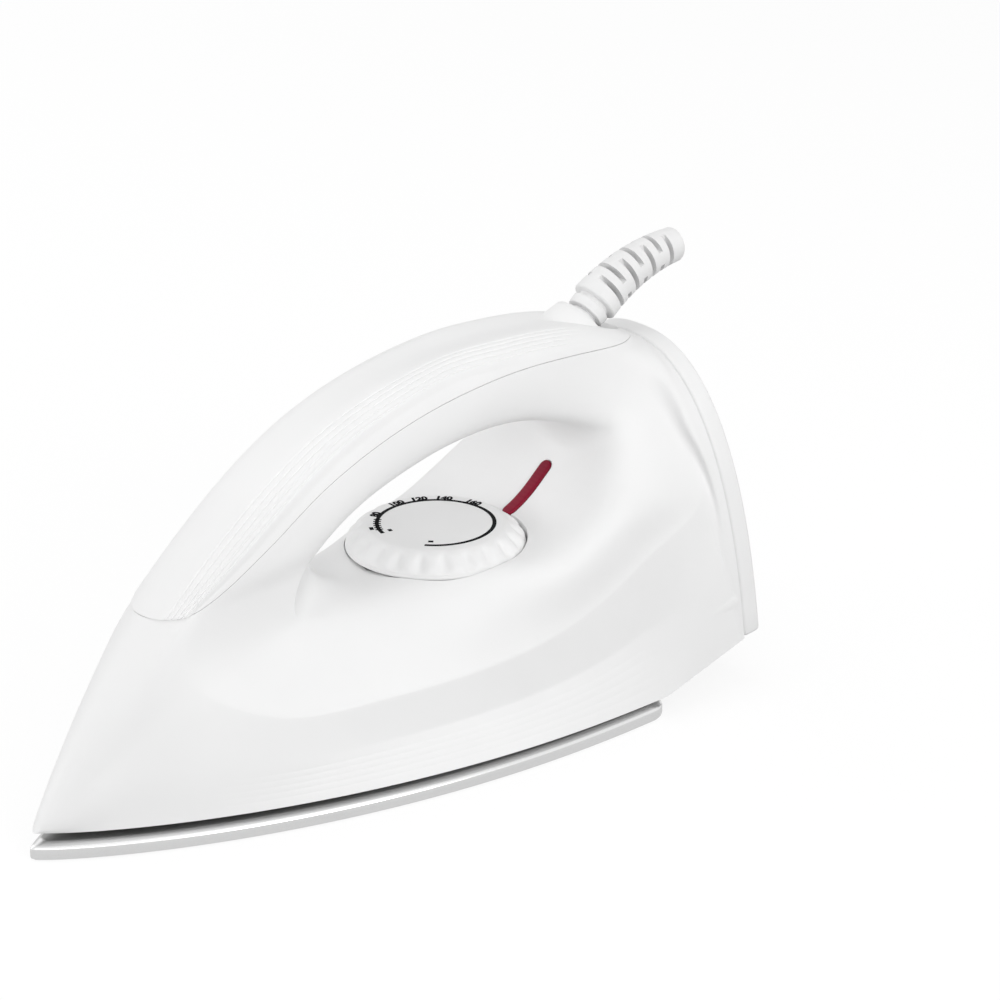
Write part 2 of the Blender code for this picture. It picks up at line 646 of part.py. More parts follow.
def make_dial():
    """Fluted dial with a hollow underside and a hub, and the spindle it turns."""
    per_flute = 4
    count = DIAL_FLUTES * per_flute
    rings = ((DIAL_BOTTOM, 26.9, 0.0), (DIAL_BOTTOM + 0.9, 26.9, 0.0), (DIAL_BOTTOM + 1.1, DIAL_RADIUS, 0.5),
             (DIAL_BOTTOM + 2.5, 26.0, 1.0), (DIAL_TOP - 1.3, 23.6, 0.9), (DIAL_TOP - 0.4, 22.2, 0.3),
             (DIAL_TOP, 20.6, 0.0))

    def build(work):
        loops = []
        for height, radius, depth in rings:
            loop = []
            for spot in range(count):
                angle = spot / count * 2 * math.pi
                reach = radius - depth * (0.5 - 0.5 * math.cos(angle * DIAL_FLUTES))
                loop.append(work.verts.new(Vector((math.cos(angle), math.sin(angle), 0.0)) * reach * MM
                                           + Vector((0.0, 0.0, height * MM))))
            loops.append(loop)
        for lower, upper in zip(loops, loops[1:]):
            for spot in range(count):
                after = (spot + 1) % count
                work.faces.new((lower[spot], lower[after], upper[after], upper[spot]))
        work.faces.new(loops[0][::-1])
        work.faces.new(loops[-1])

    dial = new_object("dial", mesh_from("dial", build), DIAL_WHITE)
    dial.location = place(DIAL_U, 0.0, 0.0)
    cut(dial, rod("dial_hollow", (DIAL_U, 0.0, DIAL_BOTTOM - 1.0), (DIAL_U, 0.0, 60.3), 21.5, sides=32))
    join(dial, rod("dial_hub", (DIAL_U, 0.0, 46.0), (DIAL_U, 0.0, 61.5), 6.0))
    cut(dial, rod("spindle_socket", (DIAL_U, 0.0, 40.0), (DIAL_U, 0.0, 55.0), 2.8))
    spindle = rod("dial_spindle", (DIAL_U, 0.0, 22.0 + GAP), (DIAL_U, 0.0, 54.7), 2.5, STEEL)
    join(spindle, rod("spindle_collar", (DIAL_U, 0.0, 34.0), (DIAL_U, 0.0, 37.0), 5.0))


def make_neck():
    """Short cone at the rear of the handle that holds the guard's ball."""
    return rod("neck", guard_place(-14.0), guard_place(NECK_END), 13.5, end_radius=8.3, sides=24)


def make_guard_room():
    """Widening room behind the neck, in which the guard swings."""
    return rod("guard_room", guard_place(NECK_END + GAP), guard_place(28.0), 8.8, end_radius=14.0, sides=24)


def make_housing(inside, neck, socket, room):
    """Moulded shell: the lofted form, hollowed, with its seats, bosses, lugs and the cap's opening worked in."""
    housing = half_form("housing", outer_grid(), HOUSING_STEPS, WHITE)
    cut(housing, inside)
    join(housing, neck, box("neck_web", (188.0, -15.0, 97.0), (203.0, 15.0, 112.0)))
    cap_space = side_plate("cap_space", seam_points(GAP) + [(245.0, 170.0), (18.0, 170.0)], THROUGH)
    cut(housing, cap_space, socket, room)
    cut(housing, rod("cord_way", guard_place(0.0), guard_place(-26.0), 4.5, sides=16))
    clearance = rod("dial_clearance", (DIAL_U, 0.0, DIAL_SEAT_Z), (DIAL_U, 0.0, 75.0), 27.6, sides=32)
    cut(housing, clearance, rod("hub_hole", (DIAL_U, 0.0, 45.0), (DIAL_U, 0.0, 60.0), 6.4))
    front_u = FIXINGS[0][0]
    join(housing, rod("front_post", (front_u, 0.0, FIXINGS[0][2] + GAP), (front_u, 0.0, 53.5), 5.0, sides=16))
    cut(housing, rod("screw_hole", (front_u, 0.0, 10.0), (front_u, 0.0, 70.0), 2.0, sides=12),
        rod("screw_well", (front_u, 0.0, 40.0), (front_u, 0.0, 70.0), 3.8, sides=16))
    for u, y, z in FIXINGS[1:]:
        sign = math.copysign(1.0, y)
        join(housing, box("lug", (u - 6.0, sign * 20.0, z + GAP), (u + 6.0, sign * LUG_END_Y, z + 4.0)))
        cut(housing, rod("lug_hole", (u, y, z - 2.0), (u, y, z + 8.0), 2.0, sides=12))
    join(housing, box("terminal_shelf", (204.0, -SHELF_END_Y, 26.0), (217.0, SHELF_END_Y, 29.0)))
    for y in CLAMP_SCREW_Y:
        join(housing, rod("clamp_pillar", (191.0, y, CLAMP_Z), (202.7, y, CLAMP_Z), 3.0, sides=12))
        cut(housing, rod("clamp_hole", (197.5, y, CLAMP_Z), (206.0, y, CLAMP_Z), 1.5, sides=12))
    join(housing, side_plate("lamp_holder", [(183.0, 52.5), (191.0, 52.5), (191.0, 75.5), (183.0, 66.0)], 3.0))
    cut(housing, rod("lamp_bore", (187.0, -20.0, 56.5), (187.0, 20.0, 56.5), 2.9, sides=16))
    cut(housing, side_plate("lens_slot", lens_band(3.0, 1.7), LENS_WIDTH / 2 + GAP))
    for y, z in HEEL_SCREWS:
        join(housing, rod("heel_boss", heel_axis(y, z, 17.0), heel_axis(y, z, 0.5), 5.0, sides=12))
        cut(housing, rod("heel_screw_hole", heel_axis(y, z, 11.0), heel_axis(y, z, -5.0), 1.5, sides=12))
    cut(housing, rating_plate("rating_recess", GAP))


def heel_axis(y, z, ahead):
    """Place ahead of the rear plane, square to it, at a height."""
    return heel_u(z) - ahead * math.cos(HEEL_LEAN), y, z - ahead * math.sin(HEEL_LEAN)


def rating_plate(name, grow, material=None):
    """Thin plate on the sloping underside of the overhang, or its recess where it grows."""
    slope = math.atan2(HEEL_Z - skirt_z(OVERHANG_U), HEEL_U - OVERHANG_U)
    u = (OVERHANG_U + HEEL_U) / 2 + 1.5
    length, width, depth = RATING_SIZE
    turn = Matrix.Rotation(slope, 4, "Y")
    size = Matrix.Diagonal(((length + 2 * grow) * MM, (width + 2 * grow) * MM, (depth + 2 * grow) * MM, 1.0))
    matrix = Matrix.Translation(place(u, 0.0, skirt_z(u) + 0.2)) @ turn @ size
    mesh = mesh_from(name, lambda work: bmesh.ops.create_cube(work, size=1.0, matrix=matrix))
    return new_object(name, mesh, material)


def make_cap(inside, neck, socket, room):
    """Top half of the grip, with the upper half of the neck."""
    cap = half_form("handle_cap", outer_grid(), HOUSING_STEPS, WHITE)
    cut(cap, inside)
    join(cap, neck)
    region = side_plate("cap_region", seam_points(0.0) + [(245.0, 170.0), (18.0, 170.0)], THROUGH)
    combine(cap, region, "INTERSECT")
    cut(cap, socket, room, solver="MANIFOLD")


def make_heel_plate():
    """Rear cover with the flat face that the iron stands on."""
    half = [heel_edge(step / 12) for step in range(13)]
    loop = half + [spot * np.array((1.0, -1.0, 1.0)) for spot in reversed(half[1:])]
    slope = np.array((math.cos(HEEL_LEAN), 0.0, math.sin(HEEL_LEAN)))
    rings = [[spot + slope * depth for spot in loop] for depth in (GAP, GAP + HEEL_THICKNESS)]
    plate = loft("heel_plate", rings, WHITE)
    round_edges(plate, 1.5)
    for y, z in HEEL_SCREWS:
        cut(plate, rod("plate_hole", heel_axis(y, z, 5.0), heel_axis(y, z, -20.0), 1.7, sides=12),
            rod("plate_well", heel_axis(y, z, -3.0), heel_axis(y, z, -20.0), 3.4, sides=16))


def make_guard():
    """Segmented guard on a ball: side slots and top slots take turns along a drooping tapered tube."""
    tip_angle = math.acos(GUARD_BORE * 1.4 / BALL_RADIUS)
    rings = []
    for step in range(7):
        angle = -tip_angle + 2 * tip_angle * step / 6
        rings.append(guard_ring(BALL_RADIUS * math.sin(angle), BALL_RADIUS * math.cos(angle)))
    steps = ((5.4, 4.1), (5.5, 6.0), (8.6, 6.2), (8.7, 5.2), (10.0, 5.2), (10.1, 7.0), (10.6, 7.4))
    rings += [guard_ring(distance, radius) for distance, radius in steps]
    for step in range(1, 7):
        rings.append(guard_ring(10.6 + (GUARD_LENGTH - 11.4) * step / 6, 7.4 - 2.0 * step / 6))
    rings.append(guard_ring(GUARD_LENGTH, 4.7))
    guard = loft("cord_guard", rings, GUARD_WHITE)
    route = [guard_place(distance) for distance in np.linspace(-10.0, GUARD_LENGTH + 5.0, 16)]
    cut(guard, tube("guard_bore", route, GUARD_BORE), guard_slots())


def guard_slots():
    """All the slots of the guard as one cutter, two to a level, each leaving a web on either side."""
    def build(work):
        for level in range(GUARD_SLOT_LEVELS):
            distance = GUARD_SLOT_FIRST + GUARD_SLOT_PITCH * level
            u, z, angle = guard_axis(distance)
            turn = Matrix.Rotation(angle - math.pi / 2, 4, "Y") @ Matrix.Rotation(level * math.pi / 2, 4, "Z")
            for sign in (1, -1):
                shift = Matrix.Translation((0.0, sign * (GUARD_WEB + 5.0) * MM, 0.0))
                size = Matrix.Diagonal((20.0 * MM, 10.0 * MM, GUARD_SLOT_WIDTH * MM, 1.0))
                matrix = Matrix.Translation(place(u, 0.0, z)) @ turn @ shift @ size
                bmesh.ops.create_cube(work, size=1.0, matrix=matrix)
    return new_object("guard_slots", mesh_from("guard_slots", build))


def make_electrics():
    """Terminal block, cord clamp, pilot lamp, leads and the earth tab."""
    block = box("terminal_block", (205.0, -13.0, 29.0 + GAP), (216.0, 13.0, 41.0), BLACK)
    for y in (-8.0, 0.0, 8.0):
        cut(block, rod("terminal_well", (200.0, y, 35.0), (220.0, y, 35.0), 2.2, sides=12))
    clamp = box("cord_clamp", (203.0, -11.0, CLAMP_Z - 3.0), (206.0, 11.0, CLAMP_Z + 3.0), BLACK)
    for y in CLAMP_SCREW_Y:
        cut(clamp, rod("clamp_way", (200.0, y, CLAMP_Z), (210.0, y, CLAMP_Z), 1.8, sides=12))
    lamp = rod("pilot_lamp", (187.0, -8.0, 56.5), (187.0, 8.0, 56.5), 2.6, GLASS, sides=16)
    round_edges(lamp, 1.2)
    leads = (("live_lead", LEAD_BROWN, ((204.7, 8.0, 35.0), (196.0, 7.0, 35.5), (188.0, 4.0, 32.0),
                                        (181.0, 1.5, 27.0), (178.5, 0.0, 23.6))),
             ("link_lead", LEAD_BROWN, ((175.0, 2.0, 19.6), (177.0, 9.0, 21.0), (174.0, 20.0, 24.5),
                                        (170.0, 27.0, 28.0), (166.0, ELEMENT_LEG, 27.6))),
             ("neutral_lead", LEAD_BLUE, ((204.7, -8.0, 35.0), (196.0, -9.0, 34.5), (184.0, -14.0, 29.5),
                                          (170.0, -17.0, 22.0), (158.0, -17.8, 19.9), (150.4, -18.0, 19.7))),
             ("fuse_lead", LEAD_BLUE, ((127.6, -18.0, 19.7), (123.0, -18.5, 20.5), (122.0, -23.0, 21.5),
                                       (130.0, -28.0, 23.0), (146.0, -30.0, 26.0), (158.0, -30.5, 28.0),
                                       (166.0, -ELEMENT_LEG, 27.6))),
             ("earth_lead", LEAD_GREEN, ((204.7, 0.0, 35.0), (199.0, 0.0, 32.0), (195.0, -2.0, 25.0),
                                         (190.0, -4.0, 18.0), (187.5, -4.5, 15.0))))
    for name, material, spots in leads:
        count = 3 * (len(spots) - 1)
        route = [tuple(smooth_through(spots, step / 3)) for step in range(count + 1)]
        tube(name, route, LEAD_RADIUS, material, roundness=1)
    tab = box("earth_tab", (181.0, -7.5, CASTING_TOP + GAP), (190.0, -1.5, CASTING_TOP + 1.3), BRASS)
    round_edges(tab, 0.3, segments=1)


def screw(name, head, tip, material=STEEL):
    """Pan-head screw whose head's underside is at one place and its point at another."""
    first, second = place(*head), place(*tip)
    length = (second - first).length / MM
    profile = [(0.0, 2.2), (1.9, 1.9), (2.8, 0.9), (2.8, 0.0), (1.2, 0.0), (1.2, -length + 1.2), (0.0, -length)]
    item = turned(name, profile, material, steps=12)
    item.location = first
    item.rotation_euler = (first - second).to_track_quat("Z", "Y").to_euler()
    return item


def make_screws():
    """Screws of the housing, the heel plate and the cord clamp."""
    screw("housing_screw_front", (FIXINGS[0][0], 0.0, 40.0 + GAP), (FIXINGS[0][0], 0.0, 9.0))
    for side, (u, y, z) in zip(("left", "right"), FIXINGS[1:]):
        screw("housing_screw_" + side, (u, y, z + 4.0 + GAP), (u, y, 9.0))
    for side, (y, z) in zip(("top", "left", "right"), HEEL_SCREWS):
        screw("heel_screw_" + side, heel_axis(y, z, -3.0 - GAP), heel_axis(y, z, 9.0))
    for side, y in zip(("right", "left"), CLAMP_SCREW_Y):
        screw("clamp_screw_" + side, (206.0 + GAP, y, CLAMP_Z), (198.5, y, CLAMP_Z))


def main():
    """Build every piece."""
    clear_scene()
    inside = half_form("inside", inner_grid(), INSIDE_STEPS)
    cut(inside, rod("dial_seat", (DIAL_U, 0.0, DIAL_SEAT_FLOOR_Z), (DIAL_U, 0.0, 75.0), DIAL_SEAT_RADIUS, sides=32))
    neck = make_neck()
    socket = ball("ball_socket", (BALL_U, 0.0, BALL_Z), BALL_RADIUS + 0.6)
    room = make_guard_room()
    make_soleplate()
    make_heater()
    make_thermostat()
    make_dial()
    make_housing(inside, neck, socket, room)
    make_cap(inside, neck, socket, room)
    make_heel_plate()
    rating_plate("rating_plate", 0.0, PLATE_GREY)
    side_plate("pilot_lens", lens_band(0.7, 1.4, 0.02), LENS_WIDTH / 2, RED)
    make_guard()
    make_electrics()
    make_screws()


main()
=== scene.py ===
"""Waxing iron, dressed: a white moulded shell with a looped handle on a polished soleplate.

Places are written as (u, y, z) in millimetres: u runs back from the nose tip of the soleplate, y to the left
and z up from the ironing face. place() turns them into the frame's metres, with the nose towards +X.
"""

import json
import logging
import math
from contextlib import contextmanager
from dataclasses import dataclass
from enum import Enum
from functools import cache
from typing import Callable, Iterator, Sequence

import bmesh
import bpy
import numpy as np
from mathutils import Matrix, Vector


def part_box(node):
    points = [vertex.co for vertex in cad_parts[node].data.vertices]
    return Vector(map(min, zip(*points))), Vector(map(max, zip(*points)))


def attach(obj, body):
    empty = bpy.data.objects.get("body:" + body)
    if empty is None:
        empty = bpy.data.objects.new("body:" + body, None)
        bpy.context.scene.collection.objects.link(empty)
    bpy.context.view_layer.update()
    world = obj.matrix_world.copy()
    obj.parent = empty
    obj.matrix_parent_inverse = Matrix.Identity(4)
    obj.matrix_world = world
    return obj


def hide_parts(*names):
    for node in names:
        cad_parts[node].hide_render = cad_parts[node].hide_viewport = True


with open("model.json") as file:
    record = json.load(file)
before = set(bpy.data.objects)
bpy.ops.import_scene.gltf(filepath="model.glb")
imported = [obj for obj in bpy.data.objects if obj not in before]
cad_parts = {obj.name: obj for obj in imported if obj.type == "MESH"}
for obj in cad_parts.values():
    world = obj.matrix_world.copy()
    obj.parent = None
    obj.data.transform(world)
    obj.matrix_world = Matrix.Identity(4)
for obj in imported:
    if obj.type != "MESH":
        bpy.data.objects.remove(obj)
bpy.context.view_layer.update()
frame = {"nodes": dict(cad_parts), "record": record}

log = logging.getLogger("waxing_iron")
MM = 0.001
GAP = 0.3
NOSE_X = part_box("soleplate")[1].x
WELD = 1e-6
ON_CENTRE = 0.01
TINY = 1e-9
WAVE_BAND = 0.31
EVEN = (1.0, 1.0, 1.0)
Spot = Sequence[float]


def place(u: float, y: float, z: float) -> Vector:
    """Turn a place on the iron into the frame's metres."""
    return Vector((NOSE_X - u * MM, y * MM, z * MM))


def to_metres(spots: np.ndarray) -> np.ndarray:
    """Turn an array of places into metres, keeping its shape."""
    return np.stack((NOSE_X - spots[..., 0] * MM, spots[..., 1] * MM, spots[..., 2] * MM), axis=-1)


def ease(low: float, high: float, at: np.ndarray) -> np.ndarray:
    """Smooth step from 0 at low to 1 at high."""
    share = np.clip((at - low) / (high - low), 0.0, 1.0)
    return share * share * (3 - 2 * share)


def window(fade: Spot, at: np.ndarray) -> np.ndarray:
    """Smooth window: 0 up to fade's first value, 1 between the middle two and 0 from the last."""
    return ease(fade[0], fade[1], at) * (1 - ease(fade[2], fade[3], at))


def smooth_through(points: np.ndarray, at: np.ndarray, closed: bool = False) -> np.ndarray:
    """Catmull-Rom curve through evenly numbered points.

    Args:
        points: the knots, one a row.
        at: where to read the curve, counted in knots.
        closed: whether the last knot runs on into the first.

    Returns:
        One row for each value of at.
    """
    knots = np.asarray(points, float)
    count = len(knots)
    if closed:
        padded = np.concatenate((knots[-1:], knots, knots[:2]))
    else:
        padded = np.concatenate((2 * knots[:1] - knots[1:2], knots, 2 * knots[-1:] - knots[-2:-1]))
    index = np.minimum(np.floor(at).astype(int), count - (1 if closed else 2))
    t = (at - index).reshape(-1, *[1] * (knots.ndim - 1))
    before, first, second, after = (padded[index + step] for step in range(4))
    bend = 2 * before - 5 * first + 4 * second - after
    swing = -before + 3 * first - 3 * second + after
    return 0.5 * (2 * first + (second - before) * t + bend * t ** 2 + swing * t ** 3)


def scores(at: np.ndarray, centres: np.ndarray, half: float) -> np.ndarray:
    """Depth of round grooves: 1 on a centre, falling to 0 at half a groove's width."""
    offset = np.minimum(np.abs(at[:, None] - centres) / half, 1.0)
    return np.max(np.cos(offset * math.pi / 2) ** 2, axis=1)


class Body(Enum):
    """The bodies that pieces ride on."""

    IRON = "iron"
    DIAL = "heat_dial"
    GUARD = "guard"


class Cut(Enum):
    """What a tool does to a piece."""

    AWAY = "DIFFERENCE"
    FUSE = "UNION"
    KEEP = "INTERSECT"


class Stock(Enum):
    """Primitives that pieces and tools start from."""

    GRID = "grid"
    CIRCLE = "circle"
    CONE = "cone"
    CUBE = "cube"
    BALL = "uv_sphere"
    PLANE = "plane"


class Signal:
    """A socket in a shader, so that maths on it is written as plain Python."""

    def __init__(self, tree: "ShaderTree", socket: bpy.types.NodeSocket) -> None:
        """Keep the tree and the socket."""
        self.tree = tree
        self.socket = socket

    def _math(self, operation: str, first: "Signal | float", second: "Signal | float") -> "Signal":
        """Add a Math node.

        Args:
            operation: the node's operation.
            first: its upper value.
            second: its lower value.

        Returns:
            The node's result.
        """
        return self.tree.node("ShaderNodeMath", {"operation": operation}, {0: first, 1: second})

    def __add__(self, other: "Signal | float") -> "Signal":
        """Sum."""
        return self._math("ADD", self, other)

    def __radd__(self, other: float) -> "Signal":
        """Sum with a number in front."""
        return self._math("ADD", other, self)

    def __sub__(self, other: "Signal | float") -> "Signal":
        """Difference."""
        return self._math("SUBTRACT", self, other)

    def __rsub__(self, other: float) -> "Signal":
        """Difference from a number."""
        return self._math("SUBTRACT", other, self)

    def __mul__(self, other: "Signal | float") -> "Signal":
        """Product."""
        return self._math("MULTIPLY", self, other)

    def __rmul__(self, other: float) -> "Signal":
        """Product with a number in front."""
        return self._math("MULTIPLY", other, self)

    def most(self, other: "Signal") -> "Signal":
        """The larger of two values."""
        return self._math("MAXIMUM", self, other)

    def rise(self, low: float, high: float) -> "Signal":
        """Smooth step from 0 at low to 1 at high."""
        return self.tree.node("ShaderNodeMapRange", {"interpolation_type": "SMOOTHSTEP"},
                              {"Value": self, "From Min": low, "From Max": high})


class ShaderTree:
    """The nodes of one material or of the world."""

    def __init__(self, owner: "bpy.types.Material | bpy.types.World",
                 shader: str = "Principled BSDF") -> None:
        """Start from the owner's own shader.

        Args:
            owner: the material or the world.
            shader: the name of the node that it starts with.
        """
        owner.use_nodes = True
        self.owner = owner
        self.nodes = owner.node_tree.nodes
        self.links = owner.node_tree.links
        self.shader = self.nodes[shader]

    def node(self, kind: str, settings: dict | None = None, inputs: dict | None = None,
             output: str | int = 0) -> Signal:
        """Add a node.

        Args:
            kind: the node's type.
            settings: its properties, set first.
            inputs: values or signals for its sockets.
            output: which of its outputs to hand back.

        Returns:
            That output.
        """
        made = self.nodes.new(kind)
        for name, value in (settings or {}).items():
            setattr(made, name, value)
        for name, value in (inputs or {}).items():
            self.feed(made.inputs[name], value)
        return Signal(self, made.outputs[output])

    def feed(self, socket: bpy.types.NodeSocket, value: object) -> None:
        """Link a signal to a socket, or set its value.

        Args:
            socket: the socket.
            value: a signal, or the value itself.
        """
        if isinstance(value, Signal):
            self.links.new(value.socket, socket)
        else:
            socket.default_value = value

    def set(self, **values: object) -> None:
        """Feed sockets of the owner's shader, named with underscores for spaces."""
        for name, value in values.items():
            self.feed(self.shader.inputs[name.replace("_", " ")], value)

    def spot(self, stretch: Spot = EVEN) -> Signal:
        """Object coordinates, stretched."""
        coordinates = self.node("ShaderNodeTexCoord", output="Object")
        return self.node("ShaderNodeMapping", {}, {"Vector": coordinates, "Scale": stretch})

    def noise(self, size: float, stretch: Spot = EVEN, detail: float = 2.0) -> Signal:
        """Noise whose grains have a size in millimetres."""
        return self.node("ShaderNodeTexNoise", {}, {"Vector": self.spot(stretch), "Scale": 1 / (size * MM),
                                                    "Detail": detail}, "Fac")

    def waves(self, pitch: float, direction: str, stretch: Spot = EVEN) -> Signal:
        """Smooth bands with a pitch in millimetres."""
        return self.node("ShaderNodeTexWave", {"bands_direction": direction},
                         {"Vector": self.spot(stretch), "Scale": WAVE_BAND / (pitch * MM)}, "Fac")

    def axis(self, name: str) -> Signal:
        """One object coordinate, in metres."""
        coordinates = self.node("ShaderNodeTexCoord", output="Object")
        return self.node("ShaderNodeSeparateXYZ", {}, {0: coordinates}, name)

    def ray(self, kind: str) -> Signal:
        """Whether the light path is of a kind, such as Camera."""
        return self.node("ShaderNodeLightPath", output=f"Is {kind} Ray")

    def blend(self, share: Signal, first: "Spot | Signal", second: "Spot | Signal") -> Signal:
        """Mix two colours.

        Args:
            share: 0 for the first colour, 1 for the second.
            first: a colour or a signal.
            second: a colour or a signal.

        Returns:
            The mixed colour.
        """
        first, second = (colour if isinstance(colour, Signal) else (*colour, 1.0)
                         for colour in (first, second))
        return self.node("ShaderNodeMix", {"data_type": "RGBA"}, {0: share, 6: first, 7: second}, 2)

    def bump(self, height: Signal, depth: float) -> None:
        """Raise the surface by a height times a depth in millimetres."""
        self.set(Normal=self.node("ShaderNodeBump", {}, {"Height": height, "Distance": depth * MM}))


def tint(colour: Spot, factor: float) -> tuple[float, ...]:
    """A colour made lighter or darker."""
    return tuple(min(channel * factor, 1.0) for channel in colour)


@dataclass(frozen=True)
class Finish:
    """A surface: its colour and how it shines."""

    name: str
    colour: tuple[float, float, float]
    roughness: float

    @cache
    def material(self) -> bpy.types.Material:
        """Make the material once and hand it out afterwards.

        Returns:
            The material.
        """
        tree = ShaderTree(bpy.data.materials.new(self.name))
        self.paint(tree)
        return tree.owner

    def paint(self, tree: ShaderTree) -> None:
        """Fill the material's nodes.

        Args:
            tree: the nodes to fill.
        """
        raise NotImplementedError


@dataclass(frozen=True)
class MouldedPlastic(Finish):
    """Moulded plastic: a fine grain, faint flow clouds and uneven gloss."""

    grain: float = 0.45
    grain_depth: float = 0.012
    cloud: float = 0.012
    flow: float = 38.0
    wipe: float = 7.0
    wipe_stretch: tuple = (1.0, 1.0, 2.5)
    speck: float = 1.3
    speck_share: float = 0.25
    speck_shade: float = 0.95
    uneven: float = 0.1

    def paint(self, tree: ShaderTree) -> None:
        """Fill the material's nodes.

        Args:
            tree: the nodes to fill.
        """
        flow = tree.noise(self.flow, detail=3.0)
        wipe = tree.noise(self.wipe, self.wipe_stretch, detail=4.0)
        grain = tree.noise(self.grain, detail=3.0)
        speck = tree.noise(self.speck).rise(0.72, 0.8)
        colour = tree.blend(flow.rise(0.3, 0.7), tint(self.colour, 1 - self.cloud),
                            tint(self.colour, 1 + self.cloud))
        tree.set(Base_Color=tree.blend(speck * self.speck_share, colour, tint(self.colour, self.speck_shade)),
                 Roughness=self.roughness - self.uneven / 2 + wipe * self.uneven + grain * (self.uneven / 2))
        tree.bump(grain, self.grain_depth)


@dataclass(frozen=True)
class SoftRubber(Finish):
    """Moulded elastomer: matt, with a fine powdery grain."""

    powder: float = 0.3
    powder_depth: float = 0.02
    smear: float = 9.0

    def paint(self, tree: ShaderTree) -> None:
        """Fill the material's nodes.

        Args:
            tree: the nodes to fill.
        """
        powder = tree.noise(self.powder, detail=4.0)
        smear = tree.noise(self.smear, detail=3.0)
        tree.set(Base_Color=tree.blend(smear.rise(0.35, 0.7), tint(self.colour, 0.975), self.colour),
                 Roughness=self.roughness + powder * 0.12 - smear * 0.06)
        tree.bump(powder, self.powder_depth)


@dataclass(frozen=True)
class SoleMetal(Finish):
    """Aluminium: polished lengthwise outside; the upper edge turned and darkened by painted shade, and rough
    from the mould inside, darkened further by painted shade in the slit under the shell.
    """

    turned_from: float = 4.25
    # Colour factor of the upper-edge band: painted shade, standing in for the shadowed shell that the chamfer
    # reflects.
    turned_painted_shade: float = 0.66
    cast_from: float = 5.3
    # Colour factor above cast_from: painted shade for the dark slit between the shell and the plate.
    cast_painted_shade: float = 0.3
    fade: float = 0.3
    line: float = 0.5
    line_stretch: tuple = (0.012, 1.0, 0.6)
    line_share: float = 0.03
    haze: float = 22.0
    haze_stretch: tuple = (0.5, 1.0, 1.0)
    sand: float = 0.8
    cast_roughness: float = 0.45
    relief: float = 0.12

    def paint(self, tree: ShaderTree) -> None:
        """Fill the material's nodes.

        Args:
            tree: the nodes to fill.
        """
        lines = tree.noise(self.line, self.line_stretch, detail=4.0)
        haze = tree.noise(self.haze, self.haze_stretch, detail=3.0)
        sand = tree.noise(self.sand, detail=5.0)
        # Height masks for the upper-edge band and the casting; each darkens the colour with painted shade as
        # well as changing the finish.
        turned_and_shaded, cast_and_shaded = (tree.axis("Z").rise(low * MM, (low + self.fade) * MM)
                        for low in (self.turned_from, self.cast_from))
        polished = self.roughness + lines * 0.1 + haze * 0.06 + turned_and_shaded * 0.15
        skin = tree.blend(haze, tint(self.colour, 0.97), self.colour)
        # The upper-edge band is darkened with painted shade, on top of its real rougher turned finish.
        outside = tree.blend(turned_and_shaded, skin, tint(self.colour, self.turned_painted_shade))
        # Above cast_from the colour is darkened with painted shade in the slit, on top of the real rough cast
        # skin.
        tree.set(Base_Color=tree.blend(cast_and_shaded, outside, tint(self.colour, self.cast_painted_shade)),
                 Metallic=1.0 - cast_and_shaded * 0.15,
                 Roughness=polished * (1 - cast_and_shaded) + cast_and_shaded * (self.cast_roughness + sand * 0.2))
        tree.bump(lines * self.line_share * (1 - cast_and_shaded) + sand * cast_and_shaded, self.relief)


@dataclass(frozen=True)
class PlainMetal(Finish):
    """Plated or rolled metal: drawn lines, dull patches and small dark spots."""

    spots: float = 0.25
    spot_size: float = 1.1
    drawn: float = 0.4
    drawn_stretch: tuple = (0.05, 1.0, 1.0)
    drawn_depth: float = 0.01
    dull: float = 5.0

    def paint(self, tree: ShaderTree) -> None:
        """Fill the material's nodes.

        Args:
            tree: the nodes to fill.
        """
        drawn = tree.noise(self.drawn, self.drawn_stretch, detail=3.0)
        dull = tree.noise(self.dull, detail=4.0)
        spot = tree.noise(self.spot_size, detail=2.0).rise(0.62, 0.78)
        plating = tree.blend(dull, tint(self.colour, 0.9), self.colour)
        tree.set(Base_Color=tree.blend(spot * self.spots, plating, tint(self.colour, 0.45)),
                 Metallic=1.0, Roughness=self.roughness + drawn * 0.12 + dull * 0.1 + spot * 0.15)
        tree.bump(drawn, self.drawn_depth)


@dataclass(frozen=True)
class ClearPlastic(Finish):
    """Tinted clear plastic: darker towards its top end with painted shade under the handle, with fine prism
    lines on its back.
    """

    top_shade_from: float = 58.0
    top_shade_to: float = 86.0
    prism: float = 0.9
    prism_depth: float = 0.03
    streak: float = 3.0
    gloss: float = 0.12

    def paint(self, tree: ShaderTree) -> None:
        """Fill the material's nodes.

        Args:
            tree: the nodes to fill.
        """
        height = tree.axis("Z")
        wave = tree.waves(self.prism, "Z")
        # Painted shade: the colour darkens towards the lens's top end, under the handle.
        depth = height.rise(self.top_shade_from * MM, self.top_shade_to * MM)
        streak = tree.noise(self.streak, detail=2.0)
        glow = tree.blend(wave * 0.35 + streak * 0.2, self.colour, tint(self.colour, 1.25))
        tree.set(Base_Color=tree.blend(depth * 0.8, glow, tint(self.colour, 0.5)),
                 Roughness=self.roughness + streak * 0.06, Specular_IOR_Level=self.gloss)
        tree.bump(wave, self.prism_depth)


